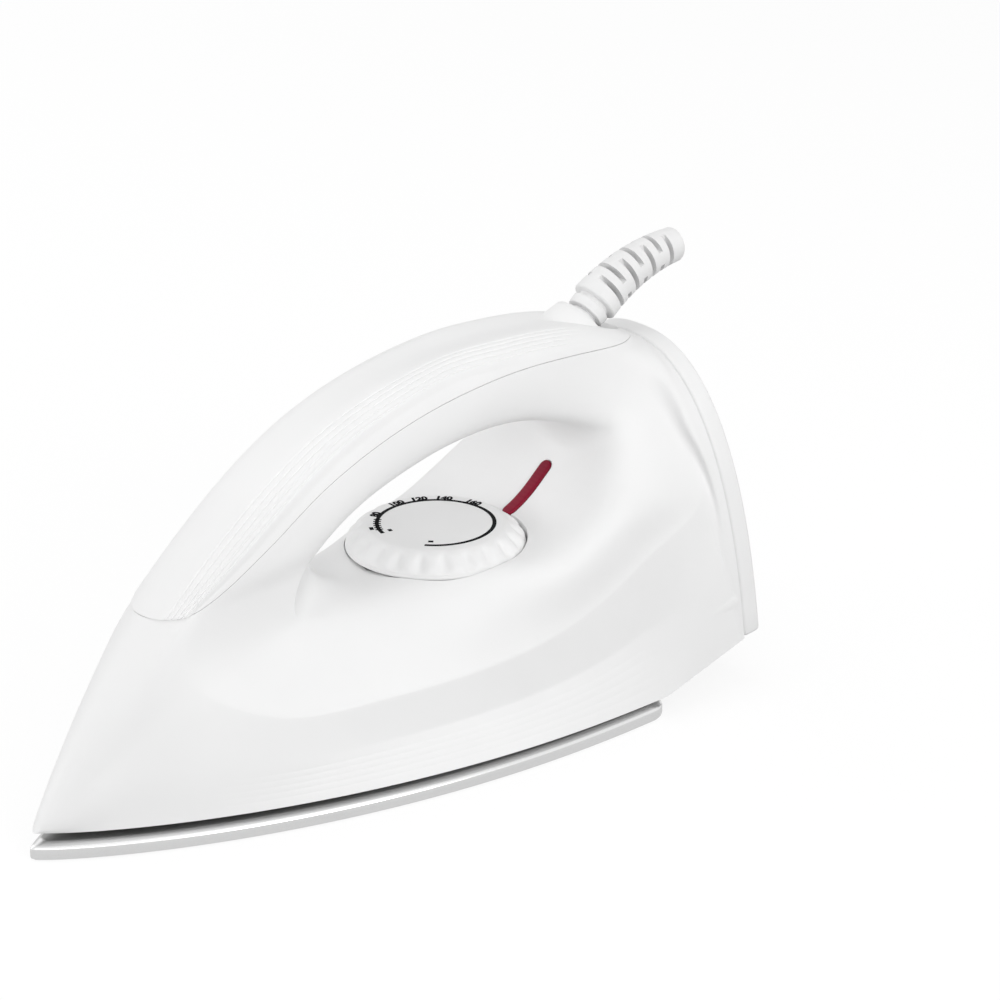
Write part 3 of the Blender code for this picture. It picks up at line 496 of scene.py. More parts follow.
@dataclass(frozen=True)
class Ceramic(Finish):
    """Unglazed steatite: chalky, with fine grey grit."""

    grit: float = 0.35
    grit_depth: float = 0.03
    stain: float = 4.0

    def paint(self, tree: ShaderTree) -> None:
        """Fill the material's nodes.

        Args:
            tree: the nodes to fill.
        """
        grit = tree.noise(self.grit, detail=4.0)
        stain = tree.noise(self.stain, detail=3.0)
        chalk = tree.blend(stain, tint(self.colour, 0.94), self.colour)
        tree.set(Base_Color=tree.blend(grit.rise(0.55, 0.75), chalk, tint(self.colour, 0.82)),
                 Roughness=self.roughness + grit * 0.15)
        tree.bump(grit, self.grit_depth)


@dataclass(frozen=True)
class LampGlass(Finish):
    """Small neon bulb: clear glass with a warm tint."""

    swirl: float = 2.5
    clearness: float = 0.7
    refraction: float = 1.47

    def paint(self, tree: ShaderTree) -> None:
        """Fill the material's nodes.

        Args:
            tree: the nodes to fill.
        """
        swirl = tree.noise(self.swirl, detail=2.0)
        tree.set(Base_Color=tree.blend(swirl, tint(self.colour, 0.9), self.colour),
                 Roughness=self.roughness + swirl * 0.05, Transmission_Weight=self.clearness,
                 IOR=self.refraction)


@dataclass(frozen=True)
class Sleeve(Finish):
    """Braided insulating sleeve over a lead: crossing threads."""

    thread: float = 0.55
    thread_depth: float = 0.08
    fade: float = 3.0

    def paint(self, tree: ShaderTree) -> None:
        """Fill the material's nodes.

        Args:
            tree: the nodes to fill.
        """
        braid = tree.waves(self.thread, "DIAGONAL") * tree.waves(self.thread, "DIAGONAL", (1.0, -1.0, -1.0))
        fade = tree.noise(self.fade, detail=3.0)
        worn = tree.blend(fade, tint(self.colour, 0.9), tint(self.colour, 1.15))
        tree.set(Base_Color=tree.blend(braid, tint(self.colour, 0.6), worn),
                 Roughness=self.roughness + braid * 0.15)
        tree.bump(braid, self.thread_depth)


@dataclass(frozen=True)
class Ink(Finish):
    """Pad-printed ink: nearly black, a little thin in places."""

    thin: float = 0.5
    gloss: float = 0.1

    def paint(self, tree: ShaderTree) -> None:
        """Fill the material's nodes.

        Args:
            tree: the nodes to fill.
        """
        thin = tree.noise(self.thin, detail=3.0)
        tree.set(Base_Color=tree.blend(thin.rise(0.5, 0.9), self.colour, tint(self.colour, 3.0)),
                 Roughness=self.roughness + thin * 0.1, Specular_IOR_Level=self.gloss)


WHITE = MouldedPlastic("white_moulded", (0.86, 0.86, 0.86), 0.52)
DIAL_WHITE = MouldedPlastic("dial_moulded", (0.84, 0.84, 0.84), 0.52, grain_depth=0.02)
BLACK = MouldedPlastic("black_moulded", (0.03, 0.03, 0.03), 0.5, grain_depth=0.03, cloud=0.1)
RUBBER = SoftRubber("guard_elastomer", (0.84, 0.84, 0.84), 0.58)
POLISHED = SoleMetal("sole_aluminium", (0.8, 0.8, 0.8), 0.14)
PLATE = PlainMetal("satin_plate", (0.62, 0.62, 0.62), 0.34, spots=0.05)
STEEL = PlainMetal("plated_steel", (0.56, 0.57, 0.58), 0.26)
BRASS = PlainMetal("brass_strip", (0.72, 0.55, 0.25), 0.24)
CERAMIC = Ceramic("steatite", (0.78, 0.75, 0.68), 0.6)
LENS = ClearPlastic("red_clear", (0.22, 0.009, 0.028), 0.42)
GLASS = LampGlass("neon_glass", (0.9, 0.55, 0.35), 0.04)
BROWN = Sleeve("brown_sleeve", (0.16, 0.07, 0.03), 0.5)
BLUE = Sleeve("blue_sleeve", (0.05, 0.12, 0.4), 0.5)
GREEN = Sleeve("green_sleeve", (0.1, 0.3, 0.08), 0.5)
PRINT = Ink("dial_ink", (0.008, 0.008, 0.009), 0.8)


class Bench:
    """Modelling operators, used on one object at a time."""

    @staticmethod
    def take(item: bpy.types.Object) -> None:
        """Select one object alone and make it active.

        Args:
            item: the object.
        """
        bpy.ops.object.select_all(action="DESELECT")
        item.select_set(True)
        bpy.context.view_layer.objects.active = item

    @staticmethod
    def started(name: str) -> bpy.types.Object:
        """Name the object that an operator has just left active.

        Args:
            name: the name of the object and of its mesh.

        Returns:
            The object.
        """
        item = bpy.context.object
        item.name = name
        item.data.name = name
        return item

    @staticmethod
    def add(stock: Stock, name: str, **settings: object) -> bpy.types.Object:
        """Add a named primitive, with nothing else selected.

        Args:
            stock: which primitive.
            name: the object's name.
            settings: the operator's settings.

        Returns:
            The primitive's object.
        """
        bpy.ops.object.select_all(action="DESELECT")
        getattr(bpy.ops.mesh, f"primitive_{stock.value}_add")(**settings)
        return Bench.started(name)

    @staticmethod
    @contextmanager
    def editing(item: bpy.types.Object, whole: bool = True) -> Iterator[None]:
        """Edit mode on one object.

        Args:
            item: the object.
            whole: whether all of it is selected, and otherwise nothing.
        """
        Bench.take(item)
        bpy.ops.object.mode_set(mode="EDIT")
        bpy.ops.mesh.select_all(action="SELECT" if whole else "DESELECT")
        yield
        bpy.ops.object.mode_set(mode="OBJECT")

    @staticmethod
    def pick_edges(item: bpy.types.Object, rule: Callable[[bmesh.types.BMEdge], bool]) -> None:
        """In edit mode, select the edges that a rule accepts.

        Args:
            item: the object in edit mode.
            rule: says whether an edge is selected.
        """
        bpy.ops.mesh.select_mode(type="EDGE")
        work = bmesh.from_edit_mesh(item.data)
        for edge in work.edges:
            edge.select = rule(edge)
        work.select_flush_mode()
        bmesh.update_edit_mesh(item.data)

    @staticmethod
    def sheet(name: str, spots: np.ndarray) -> bpy.types.Object:
        """Lay a grid on rows of places and weld it where it meets itself.

        Args:
            name: the object's name.
            spots: places in rows and columns.

        Returns:
            The laid grid, open at its edges.
        """
        rows, columns = spots.shape[:2]
        item = Bench.add(Stock.GRID, name, x_subdivisions=rows - 1, y_subdivisions=columns - 1)
        laid = to_metres(spots).transpose(1, 0, 2).reshape(-1)
        item.data.vertices.foreach_set("co", laid.astype(np.float32))
        item.data.update()
        with Bench.editing(item):
            bpy.ops.mesh.remove_doubles(threshold=WELD)
        return item

    @staticmethod
    def face_out(item: bpy.types.Object) -> None:
        """Turn every face outwards."""
        with Bench.editing(item):
            bpy.ops.mesh.normals_make_consistent(inside=False)

    @staticmethod
    def loft(name: str, rings: Sequence[Sequence[Spot]]) -> bpy.types.Object:
        """Skin rings and fill both ends.

        Args:
            name: the object's name.
            rings: rings of as many places each.

        Returns:
            The closed form.
        """
        spots = np.array(rings, float)
        item = Bench.sheet(name, np.concatenate((spots, spots[:, :1]), axis=1))
        with Bench.editing(item):
            bpy.ops.mesh.fill_holes(sides=0)
        Bench.face_out(item)
        return item

    @staticmethod
    def plate(name: str, outline: Sequence[Spot], run: Spot) -> bpy.types.Object:
        """Extrude a filled outline.

        Args:
            name: the object's name.
            outline: places round the outline.
            run: the way and distance of the extrusion, as a change of (u, y, z).

        Returns:
            The closed plate.
        """
        item = Bench.add(Stock.CIRCLE, name, vertices=len(outline), fill_type="NGON")
        laid = to_metres(np.array(outline, float)).reshape(-1)
        item.data.vertices.foreach_set("co", laid.astype(np.float32))
        shift = place(*run) - place(0.0, 0.0, 0.0)
        with Bench.editing(item):
            bpy.ops.mesh.extrude_region_move(TRANSFORM_OT_translate={"value": shift})
        Bench.face_out(item)
        return item

    @staticmethod
    def rod(start: Spot, end: Spot, radius: float, end_radius: float | None = None,
            sides: int = 48) -> bpy.types.Object:
        """A cylinder or cone, as a tool.

        Args:
            start: the place where it starts.
            end: the place where it ends.
            radius: its radius at the start.
            end_radius: its radius at the end, where it differs.
            sides: how many sides it has.

        Returns:
            The closed tool.
        """
        first, second = place(*start), place(*end)
        axis = second - first
        return Bench.settle(Bench.add(
            Stock.CONE, "rod", vertices=sides, radius1=radius * MM,
            radius2=(radius if end_radius is None else end_radius) * MM, depth=axis.length,
            location=(first + second) / 2, rotation=axis.to_track_quat("Z", "Y").to_euler()))

    @staticmethod
    def upright(u: float, y: float, low: float, high: float, *radii: float,
                sides: int = 48) -> bpy.types.Object:
        """A rod or cone between two heights, as a tool."""
        return Bench.rod((u, y, low), (u, y, high), *radii, sides=sides)

    @staticmethod
    def block(low: Spot, high: Spot) -> bpy.types.Object:
        """A box between two corners, as a tool.

        Args:
            low: one corner.
            high: the corner across from it.

        Returns:
            The closed tool.
        """
        first, second = place(*low), place(*high)
        return Bench.settle(Bench.add(Stock.CUBE, "block", size=1.0, location=(first + second) / 2,
                                      scale=[abs(b - a) for a, b in zip(first, second)]))

    @staticmethod
    def ball(centre: Spot, radius: float) -> bpy.types.Object:
        """A sphere, as a tool."""
        return Bench.settle(Bench.add(Stock.BALL, "ball", segments=48, ring_count=24, radius=radius * MM,
                                      location=place(*centre)))

    @staticmethod
    def settle(item: bpy.types.Object) -> bpy.types.Object:
        """Put an object's place, turn and size into its mesh.

        Args:
            item: the object.

        Returns:
            The same object.
        """
        Bench.take(item)
        bpy.ops.object.transform_apply(location=True, rotation=True, scale=True)
        return item

    @staticmethod
    def apply(item: bpy.types.Object, kind: str, **settings: object) -> None:
        """Add a modifier, set it up and apply it.

        Args:
            item: the object.
            kind: the modifier's type.
            settings: its properties.
        """
        modifier = item.modifiers.new(kind.lower(), kind)
        for name, value in settings.items():
            setattr(modifier, name, value)
        Bench.take(item)
        bpy.ops.object.modifier_apply(modifier=modifier.name)

    @staticmethod
    def work(item: bpy.types.Object, how: Cut, *tools: bpy.types.Object, keep: bool = False) -> None:
        """Cut, fuse or keep a piece with tools.

        Args:
            item: the piece.
            how: what each tool does.
            tools: closed objects.
            keep: whether the tools are needed again.
        """
        for tool in tools:
            Bench.apply(item, "BOOLEAN", operation=how.value, solver="MANIFOLD", object=tool)
            if not keep:
                bpy.data.objects.remove(tool, do_unlink=True)

    @staticmethod
    def round_edges(item: bpy.types.Object, width: float, segments: int = 3, angle: float = 40.0) -> None:
        """Round the sharp edges of a piece."""
        Bench.apply(item, "BEVEL", width=width * MM, segments=segments, limit_method="ANGLE",
                    angle_limit=math.radians(angle))

    @staticmethod
    def smooth(item: bpy.types.Object, angle: float = 32.0) -> None:
        """Shade a piece smooth, with its sharper edges kept."""
        Bench.take(item)
        bpy.ops.object.shade_smooth_by_angle(angle=math.radians(angle))


def hand_over(piece: bpy.types.Object, finish: Finish, slot: str, body: Body, *nodes: str) -> None:
    """Dress a finished piece and give it to a body.

    Args:
        piece: the finished piece.
        finish: its surface.
        slot: the record's material slot; not used.
        body: what it moves with.
        nodes: the nodes that it stands for.
    """
    piece.data.materials.clear()
    piece.data.materials.append(finish.material())
    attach(piece, body.value)
    if nodes:
        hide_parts(*nodes)
    log.info("%s: %d faces, rides on %s", piece.name, len(piece.data.polygons), body.value)


@dataclass(frozen=True)
class SoleForm:
    """Plan of the soleplate."""

    length: float = 200.0
    width: float = 94.0
    widest: float = 0.82
    nose_power: float = 0.85
    rear_bow: float = 3.0
    corner: float = 7.0
    nose_inset: float = 2.2
    nose_slide: float = 0.15
    side_crowding: float = 1.6
    side_steps: int = 70
    corner_steps: int = 12
    tail_steps: int = 12

    def half_width(self, u: float) -> float:
        """Half the width of the plate.

        Args:
            u: the distance behind the nose.

        Returns:
            Half the width there.
        """
        along = max(u, 0.0) / self.length
        if along < self.widest:
            return self.width / 2 * (1 - (1 - along / self.widest) ** 2) ** self.nose_power
        return self.width / 2 * (1 - (along - self.widest) ** 2)

    def outline(self, inset: float, z: float) -> list[Spot]:
        """Closed outline, drawn in by an inset.

        Args:
            inset: how far inside the edge it runs.
            z: its height.

        Returns:
            Places from the nose along the left side, round the tail and back along the right side.
        """
        front = self.nose_inset * inset
        corner_u = self.length - self.rear_bow - self.corner - inset
        side = [(front, 0.0, z)]
        for step in range(1, self.side_steps + 1):
            u = front + (corner_u - front) * (step / self.side_steps) ** self.side_crowding
            side.append((u, max(self.half_width(u - front * self.nose_slide) - inset, 0.0), z))
        last_y = side[-1][1]
        for step in range(1, self.corner_steps):
            turn = step / self.corner_steps * math.pi / 2
            side.append((corner_u + self.corner * math.sin(turn),
                         last_y - self.corner * (1 - math.cos(turn)), z))
        tail_u = corner_u + self.corner
        for step in range(self.tail_steps):
            across = 1 - step / self.tail_steps
            side.append((tail_u + self.rear_bow * (1 - across ** 2), (last_y - self.corner) * across, z))
        mirrored = [(u, -y, z) for u, y, z in reversed(side[1:])]
        return side + [(tail_u + self.rear_bow, 0.0, z)] + mirrored


@dataclass(frozen=True)
class ShellForm:
    """The moulded outside, as a half shell on guide ribs.

    The ribs run from the hand hole over an edge, a crease and a crown to the rim. A rib is hole (u, z),
    edge (u, y, z), crease (u, y, z), then the crown's bulge, its lift and the crease's softness.
    """

    sole: SoleForm = SoleForm()
    setback: float = 1.5
    nose_z: float = 8.3
    skirt_fall: float = 0.0075
    top: float = 118.2
    crest_u: float = 165.0
    climb_power: float = 2.57
    climb_bow: float = 0.95
    fall_power: float = 2.64
    hole_u: float = 145.0
    hole_z: float = 60.0
    overhang_u: float = 196.0
    heel_rim_u: float = 230.0
    heel_z: float = 15.0
    heel_top_z: float = 107.0
    heel_half_width: float = 43.0
    heel_power: float = 0.8
    lean: float = math.radians(8.0)
    wall: float = 2.5
    fillet: float = 0.045
    skirt_fold: float = 2.0
    nose_blend: float = 14.0
    fold_rib: float = 0.5
    fold_reach: tuple = (0.5, 1.3)
    fold_crisp: float = 0.9
    crown_lean: float = 0.38
    hole_pull: float = 1.3
    rim_pull: float = 1.2
    ribs: tuple = (
        (97.0, 61.0, 82.0, 15.0, 55.0, 45.0, 16.5, 47.0, 2.0, 0.65, 0.6),
        (95.5, 68.0, 83.0, 14.5, 66.0, 50.0, 13.5, 63.5, 3.0, 0.65, 0.9),
        (103.0, 78.0, 92.0, 15.5, 76.5, 74.0, 15.5, 77.5, 4.2, 0.65, 1.0),
        (119.0, 86.5, 110.0, 16.0, 87.0, 103.0, 16.5, 95.8, 4.5, 0.65, 1.0),
        (141.0, 91.0, 138.0, 16.0, 95.0, 137.0, 16.5, 107.2, 4.5, 0.65, 1.0),
        (165.0, 91.5, 165.0, 16.0, 96.0, 170.0, 16.5, 110.8, 4.5, 0.65, 1.0),
        (184.0, 87.0, 190.0, 19.0, 89.0, 200.0, 17.0, 105.0, 4.0, 0.65, 1.0),
        (190.0, 77.0, 193.0, 25.0, 82.0, 212.0, 28.0, 84.0, 2.0, 0.3, 0.7),
        (182.0, 67.0, 183.0, 34.5, 70.5, 216.0, 37.0, 64.0, 1.0, 0.0, 0.2),
        (171.0, 59.5, 170.5, 35.5, 62.8, 192.0, 40.5, 52.5, -1.5, 0.0, 0.0),
        (156.0, 56.0, 157.5, 34.5, 57.5, 166.0, 40.5, 40.0, -2.5, 0.0, 0.0),
        (140.0, 55.0, 139.0, 28.0, 57.0, 138.0, 39.0, 34.0, -2.6, 0.0, 0.0),
        (122.0, 55.0, 118.0, 20.5, 54.8, 103.0, 35.0, 32.5, -1.5, 0.0, 0.0),
        (106.0, 56.0, 97.0, 17.5, 53.0, 68.0, 26.5, 33.0, 0.5, 0.2, 0.0),
    )
    spine_rims: tuple = (1.5, 22.0, 57.0, 100.0, 137.0, 172.0)
    skirt_rims: tuple = (230.0, 196.0, 172.0, 138.0, 98.0, 50.0, 1.5)
    heel_rib: int = 6
    corner_rib: int = 8

    def spine(self, u: float) -> float:
        """Height of the top centre line.

        Args:
            u: the distance behind the nose.

        Returns:
            The height there.
        """
        climb = min((u - self.setback) / (self.crest_u - self.setback), 1.0)
        share = (1 - (1 - climb) ** self.climb_power) ** self.climb_bow
        height = self.nose_z + (self.top - self.nose_z) * share
        fall = max(u - self.crest_u, 0.0) / (self.heel_u(self.heel_top_z) - self.crest_u)
        return height - (self.top - self.heel_top_z) * fall ** self.fall_power

    def heel_u(self, z: float) -> float:
        """Where the leaning rear plane stands at a height."""
        return self.heel_rim_u - (z - self.heel_z) * math.tan(self.lean)

    def skirt_z(self, u: float) -> float:
        """Height of the lower edge: nearly level along the soleplate, then up to the heel.

        Args:
            u: the distance behind the nose.

        Returns:
            The height there.
        """
        level = self.nose_z - self.skirt_fall * min(u, self.overhang_u)
        rise = max(u - self.overhang_u, 0.0) / (self.heel_rim_u - self.overhang_u)
        return level + (self.heel_z - level) * rise

    def skirt_y(self, u: float) -> float:
        """Half width of the lower edge, just inside the soleplate and narrowing along the overhang.

        Args:
            u: the distance behind the nose.

        Returns:
            Half the width there.
        """
        tail = max(u - self.overhang_u, 0.0) / (self.heel_rim_u - self.overhang_u)
        side = self.sole.half_width(min(u, self.overhang_u) - self.setback) - GAP
        return max(side + (self.heel_half_width - side) * tail, 0.0)

    def heel_edge(self, turn: float) -> np.ndarray:
        """The heel's outline.

        Args:
            turn: from 0 at the top centre to 1 at the lower corner.

        Returns:
            The place there.
        """
        angle = turn * math.pi / 2
        z = self.heel_z + (self.heel_top_z - self.heel_z) * max(math.cos(angle), 0.0) ** self.heel_power
        return np.array((self.heel_u(z), self.heel_half_width * math.sin(angle) ** self.heel_power, z))

    def rim(self, at: float) -> np.ndarray:
        """Rim of the half shell: up the spine, down the heel outline, then forward along the skirt.

        Args:
            at: where on the rim, counted in ribs.

        Returns:
            The place there.
        """
        if at <= self.heel_rib:
            knots = np.array(self.spine_rims + (self.heel_u(self.heel_top_z),))
            u = float(smooth_through(knots, np.array([at]))[0])
            return np.array((u, 0.0, self.spine(u)))
        if at < self.corner_rib:
            return self.heel_edge((at - self.heel_rib) / (self.corner_rib - self.heel_rib))
        u = float(smooth_through(np.array(self.skirt_rims), np.array([at - self.corner_rib]))[0])
        return np.array((u, self.skirt_y(u), self.skirt_z(u)))

    def hole(self, at: np.ndarray) -> np.ndarray:
        """Centre line of the hand hole's surface."""
        row = smooth_through(np.array(self.ribs), at % len(self.ribs), closed=True)
        return np.stack((row[:, 0], np.zeros(len(row)), row[:, 1]), axis=-1)

    def surface(self, at: np.ndarray, across: np.ndarray) -> np.ndarray:
        """Places on the outside.

        Args:
            at: one value for each row, counted in ribs round the hand hole.
            across: for each row, values from 0 at the hand hole over 1 at the edge, 2 at the crease and
                3 at the crown to 4 at the rim.

        Returns:
            An array of rows and columns of (u, y, z).
        """
        row = smooth_through(np.array(self.ribs), at % len(self.ribs), closed=True)
        hole = self.hole(at)
        edge, crease = row[:, 2:5], row[:, 5:8]
        bulge, lift, soft = row[:, 8:9], row[:, 9:10], np.clip(row[:, 10:11], 0.0, 1.0)
        rim = np.array([self.rim(value % len(self.ribs)) for value in at])
        chord = rim - crease
        away = (rim - np.array((self.hole_u, 0.0, self.hole_z))) * np.array((1.0, 0.0, 1.0))
        sideways = np.array((0.0, 1.0, 0.0))
        lifted = lift * away / np.linalg.norm(away, axis=1, keepdims=True)
        push = sideways * (1 - self.crown_lean * lift) + lifted
        push -= chord * (np.sum(push * chord, axis=1) / np.sum(chord * chord, axis=1))[:, None]
        crown = (crease + rim) / 2 + bulge * push / np.linalg.norm(push, axis=1, keepdims=True)
        at_edge = (crease - hole) / 2
        half = len(self.ribs) / 2
        from_fold = np.abs((at - self.fold_rib + half) % (2 * half) - half)
        crisp = self.fold_crisp * (1 - ease(*self.fold_reach, from_fold))[:, None]
        into_edge = at_edge + crisp * (edge - hole - at_edge)
        from_edge = at_edge + crisp * (crease - edge - at_edge)
        through = (crown - edge) / 2
        fold = np.clip(-bulge / self.skirt_fold, 0.0, 1.0)
        to_crown = (1 - fold) * chord / 2 + fold * (crown - crease)
        from_crown = (1 - fold) * chord / 2 + fold * (rim - crown)
        square = 1 - ease(0.0, self.nose_blend, rim[:, 1:2])
        to_rim = square * sideways * (rim - crown)[:, 1:2] * self.rim_pull + (1 - square) * (rim - crown)
        spans = ((hole, edge, sideways * (edge - hole)[:, 1:2] * self.hole_pull, into_edge),
                 (edge, crease, from_edge, soft * through + (1 - soft) * (crease - edge)),
                 (crease, crown, soft * through + (1 - soft) * (crown - crease), to_crown),
                 (crown, rim, from_crown, to_rim))

        def read(where: np.ndarray) -> np.ndarray:
            """Hermite spans.

            Args:
                where: for each row, values of across.

            Returns:
                The places there.
            """
            places = np.zeros((*where.shape, 3))
            for number, (start, end, leave, arrive) in enumerate(spans):
                last = number == len(spans) - 1
                inside = (where >= number) & ((where < number + 1) | last)
                t = np.clip(where - number, 0.0, 1.0)[..., None]
                value = ((2 * t ** 3 - 3 * t ** 2 + 1) * start[:, None]
                         + (t ** 3 - 2 * t ** 2 + t) * leave[:, None]
                         + (3 * t ** 2 - 2 * t ** 3) * end[:, None]
                         + (t ** 3 - t ** 2) * arrive[:, None])
                places = np.where(inside[..., None], value, places)
            return places

        found = read(across)
        one = np.ones_like(across[:, :1])
        for corner in (2.0, 3.0):
            before, point, after = (read(one * (corner + step * self.fillet)) for step in (-1, 0, 1))
            share = np.clip((across - corner) / self.fillet / 2 + 0.5, 0.0, 1.0)[..., None]
            rounded = (1 - share) ** 2 * before + 2 * share * (1 - share) * point + share ** 2 * after
            found = np.where((np.abs(across - corner) < self.fillet)[..., None], rounded, found)
        return found

    def outward(self, places: np.ndarray) -> np.ndarray:
        """Unit normals of a closed surface of rows, kept in the centre plane on the centre line.

        Args:
            places: rows and columns of places, the last row the same as the first.

        Returns:
            An array of the same shape.
        """
        along = np.roll(places[:-1], -1, axis=0) - np.roll(places[:-1], 1, axis=0)
        along = np.concatenate((along, along[:1]))
        normal = np.cross(np.gradient(places, axis=1), along)
        normal[places[..., 1] < ON_CENTRE, 1] = 0.0
        return normal / np.maximum(np.linalg.norm(normal, axis=2, keepdims=True), TINY)

    def closed_half(self, name: str, places: np.ndarray) -> bpy.types.Object:
        """Close a half shell across to the centre plane and mirror it.

        Args:
            name: the object's name.
            places: the half's surface, its last row the same as its first.

        Returns:
            The closed form.
        """
        item = Bench.sheet(name, places)
        with Bench.editing(item, whole=False):
            Bench.pick_edges(item, lambda edge: edge.is_boundary and any(
                abs(vert.co.y) > WELD for vert in edge.verts))
            bpy.ops.mesh.extrude_region_move()
            bpy.ops.transform.resize(value=(1.0, 0.0, 1.0), center_override=(0.0, 0.0, 0.0))
            bpy.ops.mesh.select_all(action="SELECT")
            bpy.ops.mesh.remove_doubles(threshold=WELD)
        Bench.apply(item, "MIRROR", use_axis=(False, True, False), merge_threshold=WELD)
        with Bench.editing(item):
            bpy.ops.mesh.dissolve_degenerate(threshold=WELD)
        Bench.face_out(item)
        return item


@dataclass
class Soleplate:
    """Polished plate with its casting, bosses, studs and the element's groove."""

    form: SoleForm = SoleForm()
    rounding: float = 1.5
    rounding_steps: int = 4
    ledge: tuple = ((0.0, 3.6), (0.1, 3.95), (0.35, 4.2), (1.7, 5.3), (2.1, 5.5), (6.2, 5.5))
    casting_inset: float = 7.0
    casting: tuple = ((0.0, 6.3), (0.0, 11.4), (0.6, 12.0))
    bosses: tuple = ((121.0, 0.0, 15.0), (184.0, 27.0, 20.0), (184.0, -27.0, 20.0))
    boss_radii: tuple = (5.4, 5.0)
    boss_foot: float = 8.0
    pilot_foot: float = 7.0
    pilot_radius: float = 1.8
    pilot_past: float = 5.0
    studs: tuple = ((84.0, 0.0), (110.0, 12.0), (110.0, -12.0), (160.0, 18.5), (160.0, -18.5))
    stud_radii: tuple = (3.2, 2.8)
    stud_span: tuple = (10.0, 15.7)
    element_z: float = 12.0
    element_radius: float = 3.7
    element_leg: float = 30.0
    element_end: float = 166.0
    element_rise: tuple = ((0.0, 21.0), (0.0, 16.0), (1.5, 13.2), (5.0, 12.0))
    bend_from: float = 146.0
    bend_to: float = 54.0
    bend_steps: int = 9
    groove_sides: int = 20
    steep: float = 0.9

    def edge_rings(self) -> list[list[Spot]]:
        """Outlines from the ironing face round the edge and up the casting.

        Returns:
            The outlines, bottom first.
        """
        rings = []
        for step in range(self.rounding_steps + 1):
            turn = step / self.rounding_steps * math.pi / 2
            rings.append(self.form.outline(self.rounding * (1 - math.sin(turn)),
                                           self.rounding * (1 - math.cos(turn))))
        rings += [self.form.outline(inset, z) for inset, z in self.ledge]
        return rings + [self.form.outline(self.casting_inset + inset, z) for inset, z in self.casting]

    def element_route(self) -> list[Spot]:
        """U-shaped route of the element.

        Returns:
            Places up out of one leg, round the nose and up out of the other.
        """
        half = [(self.element_end - ahead, self.element_leg, z) for ahead, z in self.element_rise]
        for step in range(self.bend_steps):
            turn = step / self.bend_steps * math.pi / 2
            half.append((self.bend_from - (self.bend_from - self.bend_to) * math.sin(turn),
                         self.element_leg * math.cos(turn), self.element_z))
        return half + [(self.bend_to, 0.0, self.element_z)] + [(u, -y, z) for u, y, z in reversed(half)]

    def groove(self) -> bpy.types.Object:
        """Round channel along the element's route.

        Returns:
            The closed tool.
        """
        route = np.array(self.element_route())
        run = np.gradient(route, axis=0)
        run /= np.linalg.norm(run, axis=1, keepdims=True)
        rings = []
        for spot, way in zip(route, run):
            side = np.cross(way, (0.0, 0.0, 1.0)) if abs(way[2]) < self.steep else np.array((0.0, 1.0, 0.0))
            side /= np.linalg.norm(side)
            over = np.cross(side, way)
            turns = np.linspace(0, 2 * math.pi, self.groove_sides, endpoint=False)
            rings.append([spot + self.element_radius * (side * math.cos(turn) + over * math.sin(turn))
                          for turn in turns])
        return Bench.loft("groove", rings)

    def build(self) -> None:
        """Model the plate and hand it over."""
        plate = Bench.loft("soleplate_dressed", self.edge_rings())
        for u, y, z in self.bosses:
            Bench.work(plate, Cut.FUSE, Bench.upright(u, y, self.boss_foot, z, *self.boss_radii))
            pilot = Bench.upright(u, y, self.pilot_foot, z + self.pilot_past, self.pilot_radius, sides=24)
            Bench.work(plate, Cut.AWAY, pilot)
        for u, y in self.studs:
            Bench.work(plate, Cut.FUSE, Bench.upright(u, y, *self.stud_span, *self.stud_radii, sides=24))
        Bench.work(plate, Cut.AWAY, self.groove())
        Bench.smooth(plate)
        hand_over(plate, POLISHED, "polished_aluminium", Body.IRON, "soleplate")


@dataclass(frozen=True)
class GuardForm:
    """Line of the cord guard: a ball, a short straight and then a gentle droop."""

    ball_u: float = 196.3
    ball_z: float = 112.3
    ball_radius: float = 6.6
    tilt: float = math.radians(38.0)
    straight: float = 9.0
    droop: float = math.radians(0.95)
    length: float = 45.0
    bore: float = 2.9

    def axis(self, distance: float) -> tuple[float, float, float]:
        """Centre line of the guard.

        Args:
            distance: how far from the ball's centre.

        Returns:
            The place's u and z and the line's angle there.
        """
        straight = min(distance, self.straight)
        u = self.ball_u + straight * math.cos(self.tilt)
        z = self.ball_z + straight * math.sin(self.tilt)
        angle = self.tilt
        if distance > self.straight:
            angle = self.tilt - (distance - self.straight) * self.droop
            u += (math.sin(self.tilt) - math.sin(angle)) / self.droop
            z += (math.cos(angle) - math.cos(self.tilt)) / self.droop
        return u, z, angle

    def spot(self, distance: float, out: float = 0.0, side: float = 0.0) -> Spot:
        """Place at a distance along the guard, out to its upper side and to the left."""
        u, z, angle = self.axis(distance)
        return u - out * math.sin(angle), side, z + out * math.cos(angle)

    def ring(self, distance: float, radius: float, sides: int = 64) -> list[Spot]:
        """Round section."""
        turns = [spot / sides * 2 * math.pi for spot in range(sides)]
        return [self.spot(distance, radius * math.cos(turn), radius * math.sin(turn)) for turn in turns]


